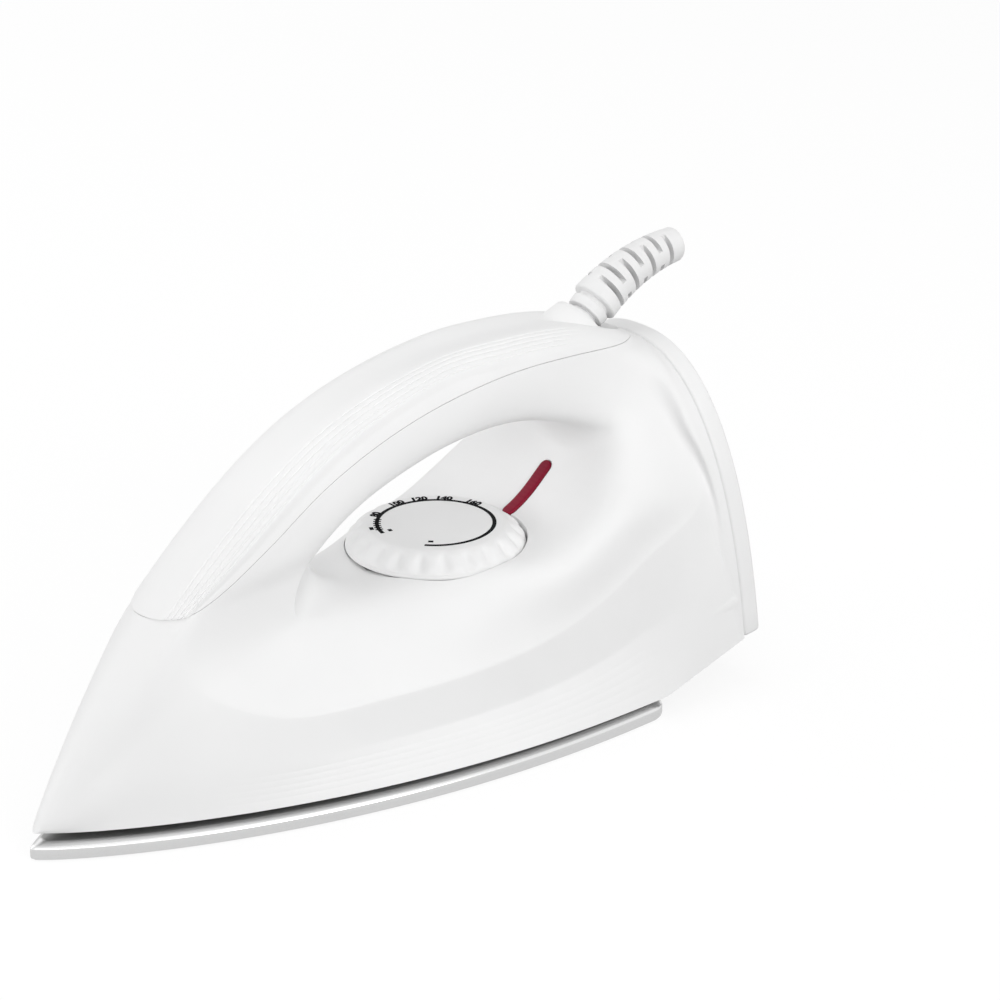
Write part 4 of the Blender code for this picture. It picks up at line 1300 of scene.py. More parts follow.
@dataclass
class Shell:
    """Housing, handle cap, heel plate, rating plate and pilot lens.

    A fade is four values: where something starts to come in, is fully in, starts to go and is gone. Uprights
    are their low end, high end and radius.
    """

    form: ShellForm = ShellForm()
    guard: GuardForm = GuardForm()
    rows_per_rib: int = 18
    housing_columns: tuple = (12, 12, 6, 10, 6)
    rim_columns: int = 3
    cap_columns: tuple = (11, 15, 13)
    cap_edge: float = 1.95
    seam: tuple = ((18.0, 64.7), (40.0, 63.7), (54.0, 67.6), (72.0, 78.6), (93.0, 92.6), (115.0, 102.3),
                   (140.0, 108.6), (168.0, 111.3), (205.0, 109.3), (245.0, 106.0))
    seam_steps: int = 73
    seam_gap: float = 0.18
    above_all: float = 170.0
    past_sides: float = 60.0
    groove_first: float = 2.68
    groove_pitch: float = 0.15
    groove_count: int = 5
    groove_columns: int = 7
    groove_half: float = 0.04
    groove_depth: float = 0.24
    groove_fade: tuple = (0.8, 1.3, 5.0, 5.6)
    step_height: float = 0.65
    step_fade: tuple = (2.4, 2.66, 3.3, 3.95)
    grip_fade: tuple = (0.9, 1.2, 4.3, 5.0)
    slide_fade: tuple = (2.1, 2.5, 3.4, 3.9)
    slide_rear: tuple = (4.0, 4.7, -0.22)
    slide_front: tuple = (1.4, 2.0, -0.04)
    line_first: float = 3.22
    line_pitch: float = 0.14
    line_count: int = 5
    line_columns: int = 5
    line_half: float = 0.03
    line_depth: float = 0.04
    line_fade: tuple = (8.9, 9.5, 12.6, 13.3)
    hollow_steps: int = 4
    hollow_columns: int = 13
    hollow_least: float = 0.25
    neck_web: tuple = ((188.0, -13.5, 97.0), (203.0, 13.5, 112.0))
    neck_run: tuple = (-14.0, 16.8)
    neck_taper: tuple = (13.5, 5.0, 0.8)
    neck_lip: tuple = (3.2, 8.1)
    neck_rings: int = 11
    socket_gap: float = 0.6
    swing_room: tuple = (3.5, 28.0, 8.8, 14.0)
    cord_way: tuple = (-26.0, 4.5)
    dial_u: float = 143.0
    dial_seat: tuple = (51.5, 75.0, 30.0)
    dial_pocket: tuple = (55.6, 75.0, 27.25)
    bush_hole: tuple = (45.0, 60.0, 6.4)
    front_u: float = 121.0
    front_post: tuple = (15.3, 53.5, 5.0)
    front_holes: tuple = ((10.0, 70.0, 2.0), (40.0, 70.0, 3.8))
    rear_lug: tuple = ((178.0, 20.0, 20.3), (190.0, 40.5, 24.0))
    rear_screw: tuple = (184.0, 27.0)
    rear_hole: tuple = (18.0, 28.0, 2.0)
    clamp_spot: tuple = (8.0, 84.0)
    clamp_post: tuple = (191.0, 202.7, 3.0)
    clamp_hole: tuple = (197.5, 206.0, 1.5)
    heel_bar: tuple = ((204.0, -41.0, 26.0), (217.0, 41.0, 29.0))
    lamp_web: tuple = ((183.0, 52.5), (191.0, 52.5), (191.0, 75.5), (183.0, 66.0))
    lamp_web_half: float = 3.0
    lamp_hole: tuple = (187.0, 56.5, 2.9)
    lamp_hole_half: float = 20.0
    heel_thickness: float = 6.7
    heel_steps: int = 40
    heel_rounding: float = 1.5
    heel_screws: tuple = ((0.0, 100.5), (37.5, 28.0), (-37.5, 28.0))
    heel_boss: tuple = (17.0, 0.5, 5.0)
    heel_hole: tuple = (11.0, -5.0, 1.5)
    heel_wells: tuple = ((5.0, -20.0, 1.7), (-3.0, -20.0, 3.4))
    rating: tuple = (22.0, 48.0, 0.8)
    rating_back: float = 1.5
    rating_sink: float = 0.2
    rating_rounding: float = 0.25
    lens_width: float = 4.4
    lens_ribs: tuple = (9.12, 7.52)
    lens_heights: tuple = (0.7, 1.4)
    lens_slot: tuple = (3.0, 1.7)
    lens_rings: int = 49
    lens_pole: float = 0.02
    lens_arc: int = 17
    lens_samples: int = 60
    lens_square: float = 0.5

    def rows(self, per_rib: int) -> np.ndarray:
        """Rows round the hand hole, the last one back on the first."""
        count = len(self.form.ribs)
        return np.linspace(0.0, count, count * per_rib + 1)

    def housing_form(self) -> bpy.types.Object:
        """The whole outside, with faint lines on the skirt.

        Returns:
            The closed form.
        """
        at = self.rows(self.rows_per_rib)
        fillet = self.form.fillet
        lines = self.line_first + self.line_pitch * np.arange(self.line_count)
        near = (lines[:, None] + self.line_half * np.linspace(-1.0, 1.0, self.line_columns)).ravel()
        stops = (0.0, 1.0, 2.0 - fillet, 2.0 + fillet, 3.0 - fillet, 3.0 + fillet)
        spans = [np.linspace(low, high, count, endpoint=False)
                 for low, high, count in zip(stops, stops[1:], self.housing_columns)]
        to_rim = np.linspace(near[-1], 4.0, self.rim_columns + 1)[1:]
        columns = np.concatenate((*spans, stops[-1:], near, to_rim))
        places = self.form.surface(at, np.tile(columns, (len(at), 1)))
        sunk = window(self.line_fade, at)[:, None] * self.line_depth * scores(columns, lines, self.line_half)
        places -= self.form.outward(places) * sunk[..., None]
        return self.form.closed_half("housing_dressed", places)

    def cap_form(self) -> bpy.types.Object:
        """The whole outside, with the grip's raised band and its fine grooves.

        Returns:
            The closed form.
        """
        at = self.rows(self.rows_per_rib)
        grooves = self.groove_first + self.groove_pitch * np.arange(self.groove_count)
        band = (grooves[:, None] + self.groove_half * np.linspace(-1.0, 1.0, self.groove_columns)).ravel()
        below, beside, above = self.cap_columns
        columns = np.concatenate((np.linspace(0.0, self.cap_edge, below, endpoint=False),
                                  np.linspace(self.cap_edge, band[0], beside, endpoint=False), band,
                                  np.linspace(band[-1], 4.0, above + 1)[1:]))
        rear, front = (ease(low, high, at) for low, high, _ in (self.slide_rear, self.slide_front))
        slide = self.slide_rear[2] * rear + self.slide_front[2] * (1 - front)
        places = self.form.surface(at, columns + slide[:, None] * window(self.slide_fade, columns))
        rise = window(self.grip_fade, at)[:, None] * self.step_height * window(self.step_fade, columns)
        cut = (window(self.groove_fade, at)[:, None] * self.groove_depth
               * scores(columns, grooves, self.groove_half))
        places += self.form.outward(places) * (rise - cut)[..., None]
        return self.form.closed_half("handle_cap_dressed", places)

    def inside(self) -> bpy.types.Object:
        """The hollow: the outside moved in by the wall, out through the heel and down past the skirt.

        Returns:
            The closed tool.
        """
        form = self.form
        at = self.rows(self.hollow_steps)
        places = form.surface(at, np.tile(np.linspace(0.0, 4.0, self.hollow_columns), (len(at), 1)))
        hollow = places - form.wall * form.outward(places)
        hollow[..., 1] = np.maximum(hollow[..., 1], self.hollow_least * places[..., 1])
        heel = (at >= form.heel_rib) & (at <= form.corner_rib)
        hollow[heel, -1, 0] += 3 * form.wall
        middle = self.hollow_columns // 2
        for row in np.flatnonzero(heel):
            hollow[row, middle:] = np.linspace(hollow[row, middle], hollow[row, -1], middle + 1)
        turn = form.corner_rib + 1
        hollow[(at >= form.corner_rib) & (at <= turn), -1, 2] += form.wall
        hollow[(at > turn) | (at == 0.0), -1, 2] -= 2 * form.wall
        hollow[np.flatnonzero(at == turn)[0] + 2, -1, 0] = form.overhang_u - form.wall
        item = form.closed_half("inside", hollow[::2, ::2])
        Bench.work(item, Cut.AWAY, Bench.upright(self.dial_u, 0.0, *self.dial_seat, sides=96))
        return item

    def side_tool(self, outline: Sequence[Spot], half_width: float) -> bpy.types.Object:
        """A tool of a side outline, cut through the centre plane to both sides."""
        return Bench.plate("side_tool", [(u, -half_width, z) for u, z in outline], (0.0, 2 * half_width, 0.0))

    def seam_region(self, drop: float) -> bpy.types.Object:
        """All that lies above the seam.

        Args:
            drop: how far below the seam it starts.

        Returns:
            The closed tool.
        """
        knots = np.array(self.seam)
        line = smooth_through(knots, np.linspace(0.0, len(knots) - 1.0, self.seam_steps)) - (0.0, drop)
        over = [(knots[end, 0], self.above_all) for end in (-1, 0)]
        return self.side_tool([*line, *over], self.past_sides)

    def neck(self) -> bpy.types.Object:
        """Flared neck at the rear of the handle that holds the guard's ball.

        Returns:
            The closed form.
        """
        start, run = self.neck_run
        wide, less, power = self.neck_taper
        rings = [self.guard.ring(start + run * share, wide - less * share ** power)
                 for share in np.linspace(0.0, 1.0, self.neck_rings)]
        return Bench.loft("neck", rings + [self.guard.ring(*self.neck_lip)])

    def guard_tools(self) -> tuple[bpy.types.Object, bpy.types.Object]:
        """Room for the guard.

        Returns:
            The ball's socket and the widening room in which the guard swings, as tools.
        """
        guard = self.guard
        socket = Bench.ball((guard.ball_u, 0.0, guard.ball_z), guard.ball_radius + self.socket_gap)
        start, end, *radii = self.swing_room
        return socket, Bench.rod(guard.spot(start), guard.spot(end), *radii)

    def heel_axis(self, y: float, z: float, ahead: float) -> Spot:
        """Place ahead of the rear plane, square to it."""
        lean = self.form.lean
        return self.form.heel_u(z) - ahead * math.cos(lean), y, z - ahead * math.sin(lean)

    def heel_rod(self, y: float, z: float, start: float, end: float, radius: float) -> bpy.types.Object:
        """A rod square to the rear plane, as a tool."""
        return Bench.rod(self.heel_axis(y, z, start), self.heel_axis(y, z, end), radius)

    def rating_block(self, grow: float) -> bpy.types.Object:
        """Thin plate on the sloping underside of the overhang, or its recess.

        Args:
            grow: how far the recess stands off the plate, 0 for the plate.

        Returns:
            The closed block.
        """
        form = self.form
        slope = math.atan2(form.heel_z - form.skirt_z(form.overhang_u), form.heel_rim_u - form.overhang_u)
        u = (form.overhang_u + form.heel_rim_u) / 2 + self.rating_back
        return Bench.settle(Bench.add(
            Stock.CUBE, "rating_plate_dressed", size=1.0, rotation=(0.0, slope, 0.0),
            location=place(u, 0.0, form.skirt_z(u) + self.rating_sink),
            scale=[(side + 2 * grow) * MM for side in self.rating]))

    def lens_bar(self, name: str, half_width: float, out: float, deep: float) -> bpy.types.Object:
        """A bar with round ends that follows the ramp behind the dial.

        Args:
            name: the object's name.
            half_width: half its width.
            out: how far it stands out of the ramp.
            deep: how far it reaches into the wall.

        Returns:
            The closed bar.
        """
        spots = self.form.hole(np.linspace(*self.lens_ribs, self.lens_samples))
        length = np.concatenate(((0.0,), np.cumsum(np.linalg.norm(np.diff(spots, axis=0), axis=1))))
        spare = half_width - self.lens_width / 2
        turns = np.linspace(self.lens_pole, math.pi - self.lens_pole, self.lens_rings)
        stops = (length[-1] / 2 + spare) * -np.cos(turns) + length[-1] / 2
        spine, run = (np.stack([np.interp(stops, length, values[:, axis]) for axis in range(3)], axis=-1)
                      for values in (spots, np.gradient(spots, axis=0)))
        run /= np.linalg.norm(run, axis=1, keepdims=True)
        spine += run * (stops - np.clip(stops, 0.0, length[-1]))[:, None]
        from_end = np.minimum(stops + spare, length[-1] + spare - stops)
        widths = np.sqrt(half_width ** 2 - np.maximum(half_width - from_end, 0.0) ** 2)
        arc = np.linspace(0.0, math.pi, self.lens_arc)
        square = [[math.copysign(abs(value) ** self.lens_square, value)
                   for value in (math.cos(turn), math.sin(turn))] for turn in arc]
        rings = []
        for spot, way, width in zip(spine, run, widths):
            normal = np.array((-way[2], 0.0, way[0]))
            edge = np.array((0.0, width, 0.0))
            ring = [spot + normal * min(out, width) * rise + edge * side for side, rise in square]
            rings.append(ring + [spot - normal * deep - edge, spot - normal * deep + edge])
        return Bench.loft(name, rings)

    def build_housing(self) -> None:
        """Model the housing: hollowed, with seats, bosses, lugs and the cap's opening."""
        housing = self.housing_form()
        Bench.work(housing, Cut.AWAY, self.inside())
        Bench.work(housing, Cut.FUSE, self.neck(), Bench.block(*self.neck_web))
        depth, radius = self.cord_way
        Bench.work(housing, Cut.AWAY, self.seam_region(self.seam_gap), *self.guard_tools(),
                   Bench.rod(self.guard.spot(0.0), self.guard.spot(depth), radius),
                   Bench.upright(self.dial_u, 0.0, *self.dial_pocket, sides=128),
                   Bench.upright(self.dial_u, 0.0, *self.bush_hole))
        self.add_screw_posts(housing)
        self.add_supports(housing)
        Bench.work(housing, Cut.AWAY, self.rating_block(GAP))
        Bench.smooth(housing)
        hand_over(housing, WHITE, "white_plastic", Body.IRON, "housing")

    def add_screw_posts(self, housing: bpy.types.Object) -> None:
        """Add the front post, the rear lugs and the cord clamp's posts, each with its screw hole.

        Args:
            housing: the hollowed housing.
        """
        Bench.work(housing, Cut.FUSE, Bench.upright(self.front_u, 0.0, *self.front_post))
        Bench.work(housing, Cut.AWAY, *(Bench.upright(self.front_u, 0.0, *hole) for hole in self.front_holes))
        (near_u, near_y, low), (far_u, far_y, high) = self.rear_lug
        screw_u, screw_y = self.rear_screw
        for sign in (1, -1):
            y, z = sign * self.clamp_spot[0], self.clamp_spot[1]
            post, hole = (Bench.rod((start, y, z), (end, y, z), radius, sides=24)
                          for start, end, radius in (self.clamp_post, self.clamp_hole))
            lug = Bench.block((near_u, sign * near_y, low), (far_u, sign * far_y, high))
            Bench.work(housing, Cut.FUSE, lug, post)
            Bench.work(housing, Cut.AWAY, Bench.upright(screw_u, sign * screw_y, *self.rear_hole), hole)

    def add_supports(self, housing: bpy.types.Object) -> None:
        """Add the heel's bar and bosses and the lamp's holder, and cut the lens's slot.

        Args:
            housing: the hollowed housing.
        """
        u, z, radius = self.lamp_hole
        half = self.lamp_hole_half
        Bench.work(housing, Cut.FUSE, Bench.block(*self.heel_bar),
                   self.side_tool(self.lamp_web, self.lamp_web_half))
        Bench.work(housing, Cut.AWAY, Bench.rod((u, -half, z), (u, half, z), radius),
                   self.lens_bar("lens_slot", self.lens_width / 2 + GAP, *self.lens_slot))
        for y, z in self.heel_screws:
            Bench.work(housing, Cut.FUSE, self.heel_rod(y, z, *self.heel_boss))
            Bench.work(housing, Cut.AWAY, self.heel_rod(y, z, *self.heel_hole))

    def build_cap(self) -> None:
        """Model the top half of the grip."""
        cap = self.cap_form()
        Bench.work(cap, Cut.AWAY, self.inside())
        Bench.work(cap, Cut.FUSE, self.neck())
        Bench.work(cap, Cut.KEEP, self.seam_region(0.0))
        Bench.work(cap, Cut.AWAY, *self.guard_tools())
        Bench.smooth(cap)
        hand_over(cap, WHITE, "white_plastic", Body.IRON, "handle_cap")

    def build_heel(self) -> None:
        """Model the rear cover that the iron stands on and the bare rating plate."""
        half = [self.form.heel_edge(step / self.heel_steps) for step in range(self.heel_steps + 1)]
        loop = half + [spot * np.array((1.0, -1.0, 1.0)) for spot in reversed(half[1:])]
        back = np.array((math.cos(self.form.lean), 0.0, math.sin(self.form.lean)))
        rings = [[spot + back * depth for spot in loop] for depth in (GAP, GAP + self.heel_thickness)]
        plate = Bench.loft("heel_plate_dressed", rings)
        Bench.round_edges(plate, self.heel_rounding, segments=4)
        for y, z in self.heel_screws:
            Bench.work(plate, Cut.AWAY, *(self.heel_rod(y, z, *well) for well in self.heel_wells))
        Bench.smooth(plate)
        hand_over(plate, WHITE, "white_plastic", Body.IRON, "heel_plate")
        rating = self.rating_block(0.0)
        Bench.round_edges(rating, self.rating_rounding, segments=2)
        Bench.smooth(rating)
        hand_over(rating, PLATE, "plate_grey", Body.IRON, "rating_plate")

    def build_lens(self) -> None:
        """Model the red lens on the ramp."""
        lens = self.lens_bar("pilot_lens_dressed", self.lens_width / 2, *self.lens_heights)
        Bench.smooth(lens, angle=45.0)
        hand_over(lens, LENS, "red_lens", Body.IRON, "pilot_lens")


@dataclass
class HeatDial:
    """Fluted dial with a hollow underside, a hub and plain printed marks.

    The profile is (height, radius) from the bottom up. Uprights are their low end, high end and radius.
    """

    u: float = 143.0
    bottom: float = 56.2
    top: float = 63.2
    profile: tuple = ((0.0, 26.7), (0.15, 26.9), (0.7, 26.9), (0.85, 26.8), (1.1, 26.75), (1.5, 26.7),
                      (1.9, 26.6), (2.3, 26.5), (2.7, 26.3), (3.1, 26.1), (3.5, 25.8), (3.9, 25.45),
                      (4.3, 25.05), (4.7, 24.6), (5.1, 24.15), (5.5, 23.65), (5.9, 23.1), (6.25, 22.5),
                      (6.55, 21.8), (6.8, 21.2), (6.95, 20.6), (7.0, 20.1))
    flutes: int = 22
    steps_per_flute: int = 14
    flute_depth: float = 1.5
    flute_from: float = 1.6
    flute_height: float = 5.0
    flute_crest: float = 1.5
    flute_ends: float = 0.8
    hollow: tuple = (55.2, 60.3, 21.5)
    hub: tuple = (46.0, 61.5, 6.0)
    hub_bore: tuple = (40.0, 55.0, 2.8)
    ring_radius: float = 17.4
    ring_width: float = 1.2
    ring_span: tuple = (41.0, 349.0)
    ring_steps: int = 120
    print_height: float = 0.05
    numerals: tuple = (("80", -58.0), ("100", -90.0), ("120", -113.0), ("140", -136.0), ("160", -165.0))
    numeral_radius: float = 18.9
    numeral_size: float = 3.4
    numeral_weight: float = 0.2
    hatch_span: tuple = (-46.0, -21.0)
    hatch_count: int = 6
    hatch_half_angle: float = 1.0
    hatch_past_ring: tuple = (0.6, 0.5)
    dots: tuple = ((-25.0, 19.4), (-15.0, 14.6), (46.0, 14.6))
    dot_half_angle: float = 3.0
    dot_half: float = 0.6

    def build(self) -> None:
        """Model the dial and its print and hand them over."""
        self.build_dial()
        self.build_print()

    def build_dial(self) -> None:
        """Model the dial."""
        count = self.flutes * self.steps_per_flute
        angles = np.linspace(0.0, 2 * math.pi, count, endpoint=False)
        wave = (0.5 - 0.5 * np.cos(angles * self.flutes)) ** self.flute_crest
        rings = []
        for height, radius in self.profile:
            along = np.clip((height - self.flute_from) / self.flute_height, 0.0, 1.0)
            reach = radius - self.flute_depth * math.sin(math.pi * along) ** self.flute_ends * wave
            rings.append(np.stack((self.u - reach * np.cos(angles), reach * np.sin(angles),
                                   np.full(count, self.bottom + height)), axis=-1))
        dial = Bench.loft("dial_dressed", rings)
        Bench.work(dial, Cut.AWAY, Bench.upright(self.u, 0.0, *self.hollow, sides=96))
        Bench.work(dial, Cut.FUSE, Bench.upright(self.u, 0.0, *self.hub))
        Bench.work(dial, Cut.AWAY, Bench.upright(self.u, 0.0, *self.hub_bore))
        Bench.smooth(dial, angle=28.0)
        hand_over(dial, DIAL_WHITE, "dial_plastic", Body.DIAL, "dial")

    def around(self, angle: float, radius: float) -> Spot:
        """Place on the dial's top at an angle from the nose."""
        turn = math.radians(angle)
        return self.u - radius * math.cos(turn), radius * math.sin(turn), self.top

    def patch(self, low_angle: float, high_angle: float, low: float, high: float,
              steps: int) -> bpy.types.Object:
        """A printed patch between two angles and two radii.

        Args:
            low_angle: where it starts, from the nose.
            high_angle: where it ends.
            low: its inner radius.
            high: its outer radius.
            steps: how many steps its round sides have.

        Returns:
            The closed patch.
        """
        angles = np.linspace(low_angle, high_angle, steps + 1)
        outline = [self.around(angle, high) for angle in angles]
        outline += [self.around(angle, low) for angle in angles[::-1]]
        return Bench.plate("patch", outline, (0.0, 0.0, self.print_height))

    def numeral(self, text: str, angle: float) -> bpy.types.Object:
        """A plain numeral that reads from the dial's centre outwards.

        Args:
            text: its figures.
            angle: where it stands, from the nose.

        Returns:
            The numeral as a mesh.
        """
        u, y, z = self.around(angle, self.numeral_radius)
        bpy.ops.object.select_all(action="DESELECT")
        bpy.ops.object.text_add(location=place(u, y, z + self.print_height / 2),
                                rotation=(0.0, 0.0, math.radians(angle - 90.0)))
        item = bpy.context.object
        item.data.body = text
        item.data.size = self.numeral_size * MM
        item.data.extrude = self.print_height / 2 * MM
        item.data.offset = self.numeral_weight * MM
        item.data.align_x = "CENTER"
        item.data.align_y = "CENTER"
        Bench.take(item)
        bpy.ops.object.convert(target="MESH")
        return Bench.settle(bpy.context.object)

    def build_print(self) -> None:
        """Print the ring, the hatched start, small dots and plain numerals."""
        inner, outer = (self.ring_radius + side * self.ring_width / 2 for side in (-1, 1))
        marks = [self.patch(*self.ring_span, inner, outer, self.ring_steps)]
        under, over = self.hatch_past_ring
        for angle in np.linspace(*self.hatch_span, self.hatch_count):
            marks.append(self.patch(angle - self.hatch_half_angle, angle + self.hatch_half_angle,
                                    inner - under, outer + over, steps=2))
        marks += [self.numeral(text, angle) for text, angle in self.numerals]
        for angle, radius in self.dots:
            marks.append(self.patch(angle - self.dot_half_angle, angle + self.dot_half_angle,
                                    radius - self.dot_half, radius + self.dot_half, steps=6))
        Bench.take(marks[0])
        for mark in marks:
            mark.select_set(True)
        bpy.ops.object.join()
        printed = Bench.started("dial_print")
        with Bench.editing(printed):
            bpy.ops.mesh.remove_doubles(threshold=WELD)
        Bench.face_out(printed)
        hand_over(printed, PRINT, "black_plastic", Body.DIAL)


@dataclass
class CordGuard:
    """Segmented guard on a ball: side slots and top slots take turns along a drooping tapered tube.

    The collar is (distance, radius) from the ball outwards, the tip (distance before the end, radius).
    """

    form: GuardForm = GuardForm()
    ball_rings: int = 21
    ball_opening: float = 1.4
    collar: tuple = ((5.4, 4.1), (5.5, 5.8), (5.7, 6.0), (8.4, 6.2), (8.6, 6.0), (8.7, 5.2), (10.0, 5.2),
                     (10.1, 6.9), (10.3, 7.2), (10.6, 7.4))
    taper_steps: int = 40
    tip: tuple = ((0.8, 5.4), (0.3, 5.2), (0.0, 4.7))
    bore_span: tuple = (-10.0, 50.0)
    bore_rings: int = 40
    bore_sides: int = 32
    slot_first: float = 15.0
    slot_pitch: float = 4.0
    slot_levels: int = 7
    slot_size: tuple = (20.0, 10.0, 1.7)
    web: float = 2.1

    def slot(self, level: int, sign: int) -> bpy.types.Object:
        """One slot, as a tool.

        Args:
            level: which ring of slots, counted from the ball.
            sign: 1 or -1 for its side of the web.

        Returns:
            The closed tool.
        """
        u, z, angle = self.form.axis(self.slot_first + self.slot_pitch * level)
        turn = Matrix.Rotation(angle - math.pi / 2, 4, "Y") @ Matrix.Rotation(level * math.pi / 2, 4, "Z")
        shift = Matrix.Translation((0.0, sign * (self.web + self.slot_size[1] / 2) * MM, 0.0))
        size = Matrix.Diagonal([side * MM for side in self.slot_size] + [1.0])
        item = Bench.add(Stock.CUBE, "slot", size=1.0)
        item.matrix_world = Matrix.Translation(place(u, 0.0, z)) @ turn @ shift @ size
        return Bench.settle(item)

    def build(self) -> None:
        """Model the guard and hand it over."""
        form = self.form
        opening = math.acos(form.bore * self.ball_opening / form.ball_radius)
        rings = [form.ring(form.ball_radius * math.sin(angle), form.ball_radius * math.cos(angle))
                 for angle in np.linspace(-opening, opening, self.ball_rings)]
        tip = [(form.length - before, radius) for before, radius in self.tip]
        taper = np.linspace(self.collar[-1], tip[0], self.taper_steps + 1)
        rings += [form.ring(distance, radius) for distance, radius in (*self.collar, *taper[1:], *tip[1:])]
        guard = Bench.loft("cord_guard_dressed", rings)
        bore = [form.ring(distance, form.bore, self.bore_sides)
                for distance in np.linspace(*self.bore_span, self.bore_rings)]
        Bench.work(guard, Cut.AWAY, Bench.loft("bore", bore))
        for level in range(self.slot_levels):
            Bench.work(guard, Cut.AWAY, self.slot(level, 1), self.slot(level, -1))
        Bench.smooth(guard, angle=35.0)
        hand_over(guard, RUBBER, "guard_rubber", Body.GUARD, "cord_guard")


@dataclass
class HeelScrews:
    """Pan-head screws in the wells of the heel plate, each with a cross recess.

    The head is (radius, height) from its top down to the shank.
    """

    shell: Shell
    head_depth: float = 3.3
    reach: float = 9.0
    head: tuple = ((0.3, 2.2), (1.2, 2.1), (1.9, 1.85), (2.5, 1.4), (2.8, 0.8), (2.8, 0.0), (1.2, 0.0))
    thread_pitch: float = 0.9
    thread_radii: tuple = (1.2, 0.95)
    plain_end: float = 2.0
    tip: tuple = ((0.9, 1.0), (0.1, 0.0))
    sides: int = 32
    recess: tuple = (2.8, 0.6, 1.8)
    recess_z: float = 2.0

    def build(self) -> None:
        """Model one screw for each well."""
        for side, (y, z) in zip(("top", "left", "right"), self.shell.heel_screws):
            self.build_screw("heel_screw_" + side, y, z)

    def build_screw(self, node: str, y: float, z: float) -> None:
        """Model one screw and hand it over.

        Args:
            node: the node that it stands for.
            y: its place across.
            z: its height on the rear plane.
        """
        first, second = (place(*self.shell.heel_axis(y, z, ahead))
                         for ahead in (-self.head_depth, self.reach))
        length = (second - first).length / MM
        profile = list(self.head)
        crest, root = self.thread_radii
        for thread in range(int((length - self.plain_end) / self.thread_pitch)):
            profile += [(crest, -self.thread_pitch * (thread + 0.5)),
                        (root, -self.thread_pitch * (thread + 1))]
        profile += [(radius, before - length) for radius, before in self.tip]
        angles = np.linspace(0.0, 2 * math.pi, self.sides, endpoint=False)
        rings = [[(-radius * math.cos(angle), radius * math.sin(angle), height) for angle in angles]
                 for radius, height in profile]
        screw = Bench.loft(node + "_dressed", rings)
        for turn in (0.0, math.pi / 2):
            tool = Bench.add(Stock.CUBE, "slot", size=1.0, location=place(0.0, 0.0, self.recess_z),
                             rotation=(0.0, 0.0, turn), scale=[side * MM for side in self.recess])
            Bench.work(screw, Cut.AWAY, Bench.settle(tool))
        seat = Matrix.Translation(first) @ (first - second).to_track_quat("Z", "Y").to_matrix().to_4x4()
        screw.matrix_world = seat @ Matrix.Translation(-place(0.0, 0.0, 0.0))
        Bench.settle(screw)
        Bench.smooth(screw)
        hand_over(screw, STEEL, "steel", Body.IRON, node)


class Insides:
    """Finishes of the working parts inside, which keep their own shapes."""

    finishes = {"steel": STEEL, "brass": BRASS, "ceramic": CERAMIC, "black_plastic": BLACK,
                "lamp_glass": GLASS, "brown_lead": BROWN, "blue_lead": BLUE, "green_lead": GREEN}

    def dress(self) -> None:
        """Give each node that still shows the finish of its slot."""
        for part in frame["record"]["subparts"]:
            node = frame["nodes"][part["node"]]
            if node.hide_render:
                continue
            node.data.materials.clear()
            node.data.materials.append(self.finishes[part["material_slot"]].material())
            log.info("%s: %s", part["node"], part["material_slot"])


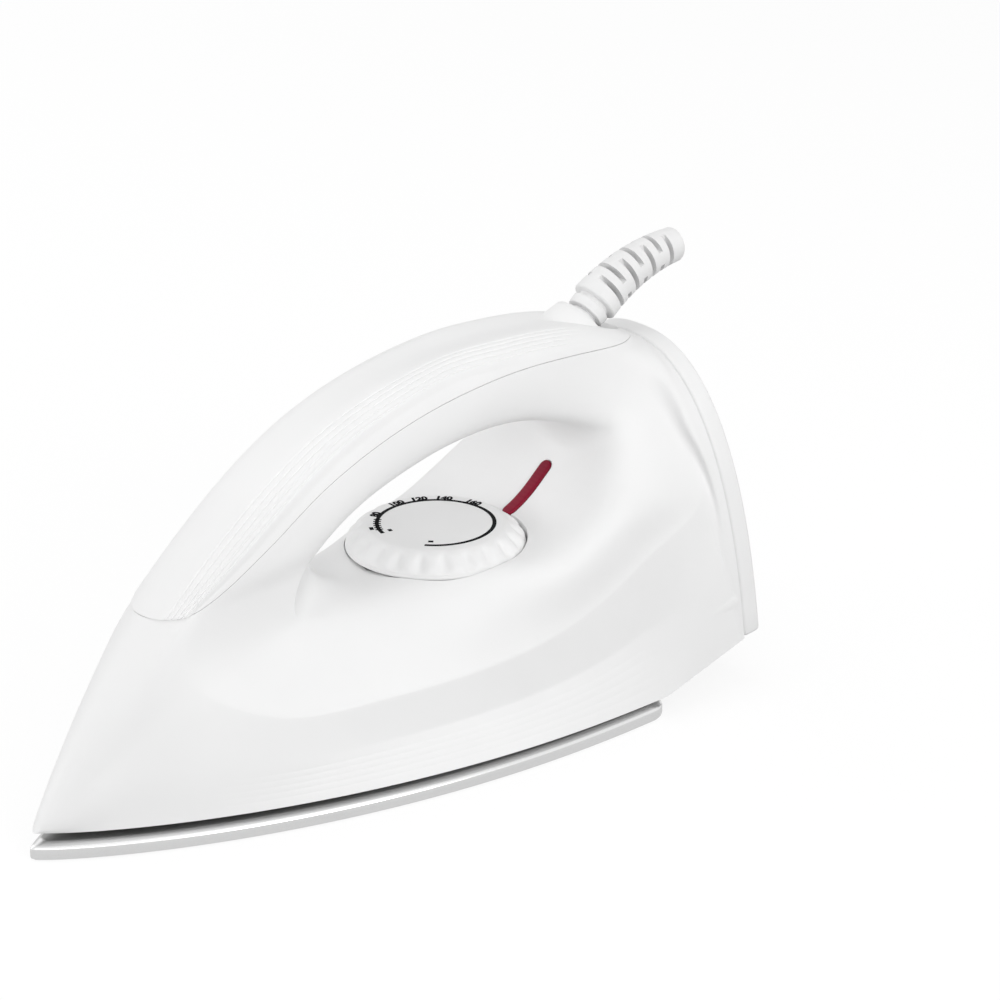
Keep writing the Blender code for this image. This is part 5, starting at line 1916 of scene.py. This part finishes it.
@dataclass
class Studio:
    """Camera, floor, world and soft lamps."""

    eye: tuple = (0.4814, 0.6427, 0.4058)
    look: tuple = (-0.58908, -0.71339, -0.37955)
    lens: float = 108.0
    sensor: float = 36.0
    sky: tuple = (1.0, 1.0, 1.0, 1.0)
    ambient: float = 0.57
    rays: tuple = ("Camera", "Glossy", "Transmission")
    floor_size: float = 12.0
    floor_drop: float = 0.0002
    floor_roughness: float = 0.9
    floor_white: float = 1.03
    floor_glow: float = 0.82
    floor_mirrored: float = 0.6
    floor_seen: tuple = (0.95, 0.95, 0.95)
    floor_bounce: tuple = (0.45, 0.45, 0.45)
    lamp_size: float = 0.9
    lamp_aim: tuple = (0.0, 0.0, 0.05)
    lamps: tuple = (("left", (0.0, 1.65, 0.65), 9.8), ("left_high", (-0.1, 1.1, 1.4), 2.1),
                    ("left_front", (1.0, 1.1, 0.9), 3.3), ("top", (0.0, 0.0, 1.7), 2.4),
                    ("right", (0.2, -1.4, 0.9), 2.8), ("front_right", (1.4, -1.0, 0.25), 9.9))

    def build(self) -> None:
        """Set up everything that isn't the iron."""
        bpy.context.scene.view_settings.view_transform = "Standard"
        self.build_camera()
        self.build_world()
        self.build_floor()
        for name, spot, power in self.lamps:
            self.build_lamp(name, spot, power)

    def build_camera(self) -> None:
        """Stand the camera at the photograph's angle."""
        data = bpy.data.cameras.new("camera")
        data.lens = self.lens
        data.sensor_width = self.sensor
        data.sensor_fit = "HORIZONTAL"
        camera = bpy.data.objects.new("camera", data)
        bpy.context.scene.collection.objects.link(camera)
        camera.location = self.eye
        camera.rotation_euler = Vector(self.look).to_track_quat("-Z", "Y").to_euler()
        bpy.context.scene.camera = camera

    def build_world(self) -> None:
        """White to the eye and in reflections, softer as light."""
        tree = ShaderTree(bpy.data.worlds.new("studio"), "Background")
        eye, mirror, clear = (tree.ray(kind) for kind in self.rays)
        level = tree.node("ShaderNodeMapRange", {},
                          {"Value": eye.most(mirror).most(clear), "To Min": self.ambient})
        tree.set(Color=self.sky, Strength=level)
        bpy.context.scene.world = tree.owner

    def build_floor(self) -> None:
        """A wide white floor that keeps a soft shadow."""
        floor = Bench.settle(Bench.add(Stock.PLANE, "floor", size=self.floor_size,
                                       location=(0.0, 0.0, -self.floor_drop)))
        tree = ShaderTree(bpy.data.materials.new("floor_white"))
        eye, mirror, clear = (tree.ray(kind) for kind in self.rays)
        tree.set(Base_Color=tree.blend(eye, self.floor_bounce, self.floor_seen),
                 Roughness=self.floor_roughness)
        white = tree.node("ShaderNodeEmission", {}, {"Strength": self.floor_white})
        share = eye * self.floor_glow + mirror.most(clear) * self.floor_mirrored
        both = tree.node("ShaderNodeMixShader", {},
                         {0: share, 1: Signal(tree, tree.shader.outputs[0]), 2: white})
        tree.feed(tree.nodes["Material Output"].inputs["Surface"], both)
        floor.data.materials.append(tree.owner)

    def build_lamp(self, name: str, spot: Spot, power: float) -> None:
        """Add a square soft lamp that faces the iron.

        Args:
            name: its name.
            spot: where it hangs, in metres.
            power: its strength in watts.
        """
        data = bpy.data.lights.new(name, "AREA")
        data.size = self.lamp_size
        data.energy = power
        lamp = bpy.data.objects.new(name, data)
        bpy.context.scene.collection.objects.link(lamp)
        lamp.location = spot
        lamp.rotation_euler = (Vector(self.lamp_aim) - Vector(spot)).to_track_quat("-Z", "Y").to_euler()


def main() -> None:
    """Build every piece in order."""
    logging.basicConfig(level=logging.INFO, format="%(name)s: %(message)s")
    shell = Shell()
    Soleplate().build()
    shell.build_housing()
    shell.build_cap()
    shell.build_heel()
    shell.build_lens()
    HeatDial().build()
    CordGuard().build()
    HeelScrews(shell).build()
    Insides().dress()
    Studio().build()


if __name__ == "__main__":
    main()
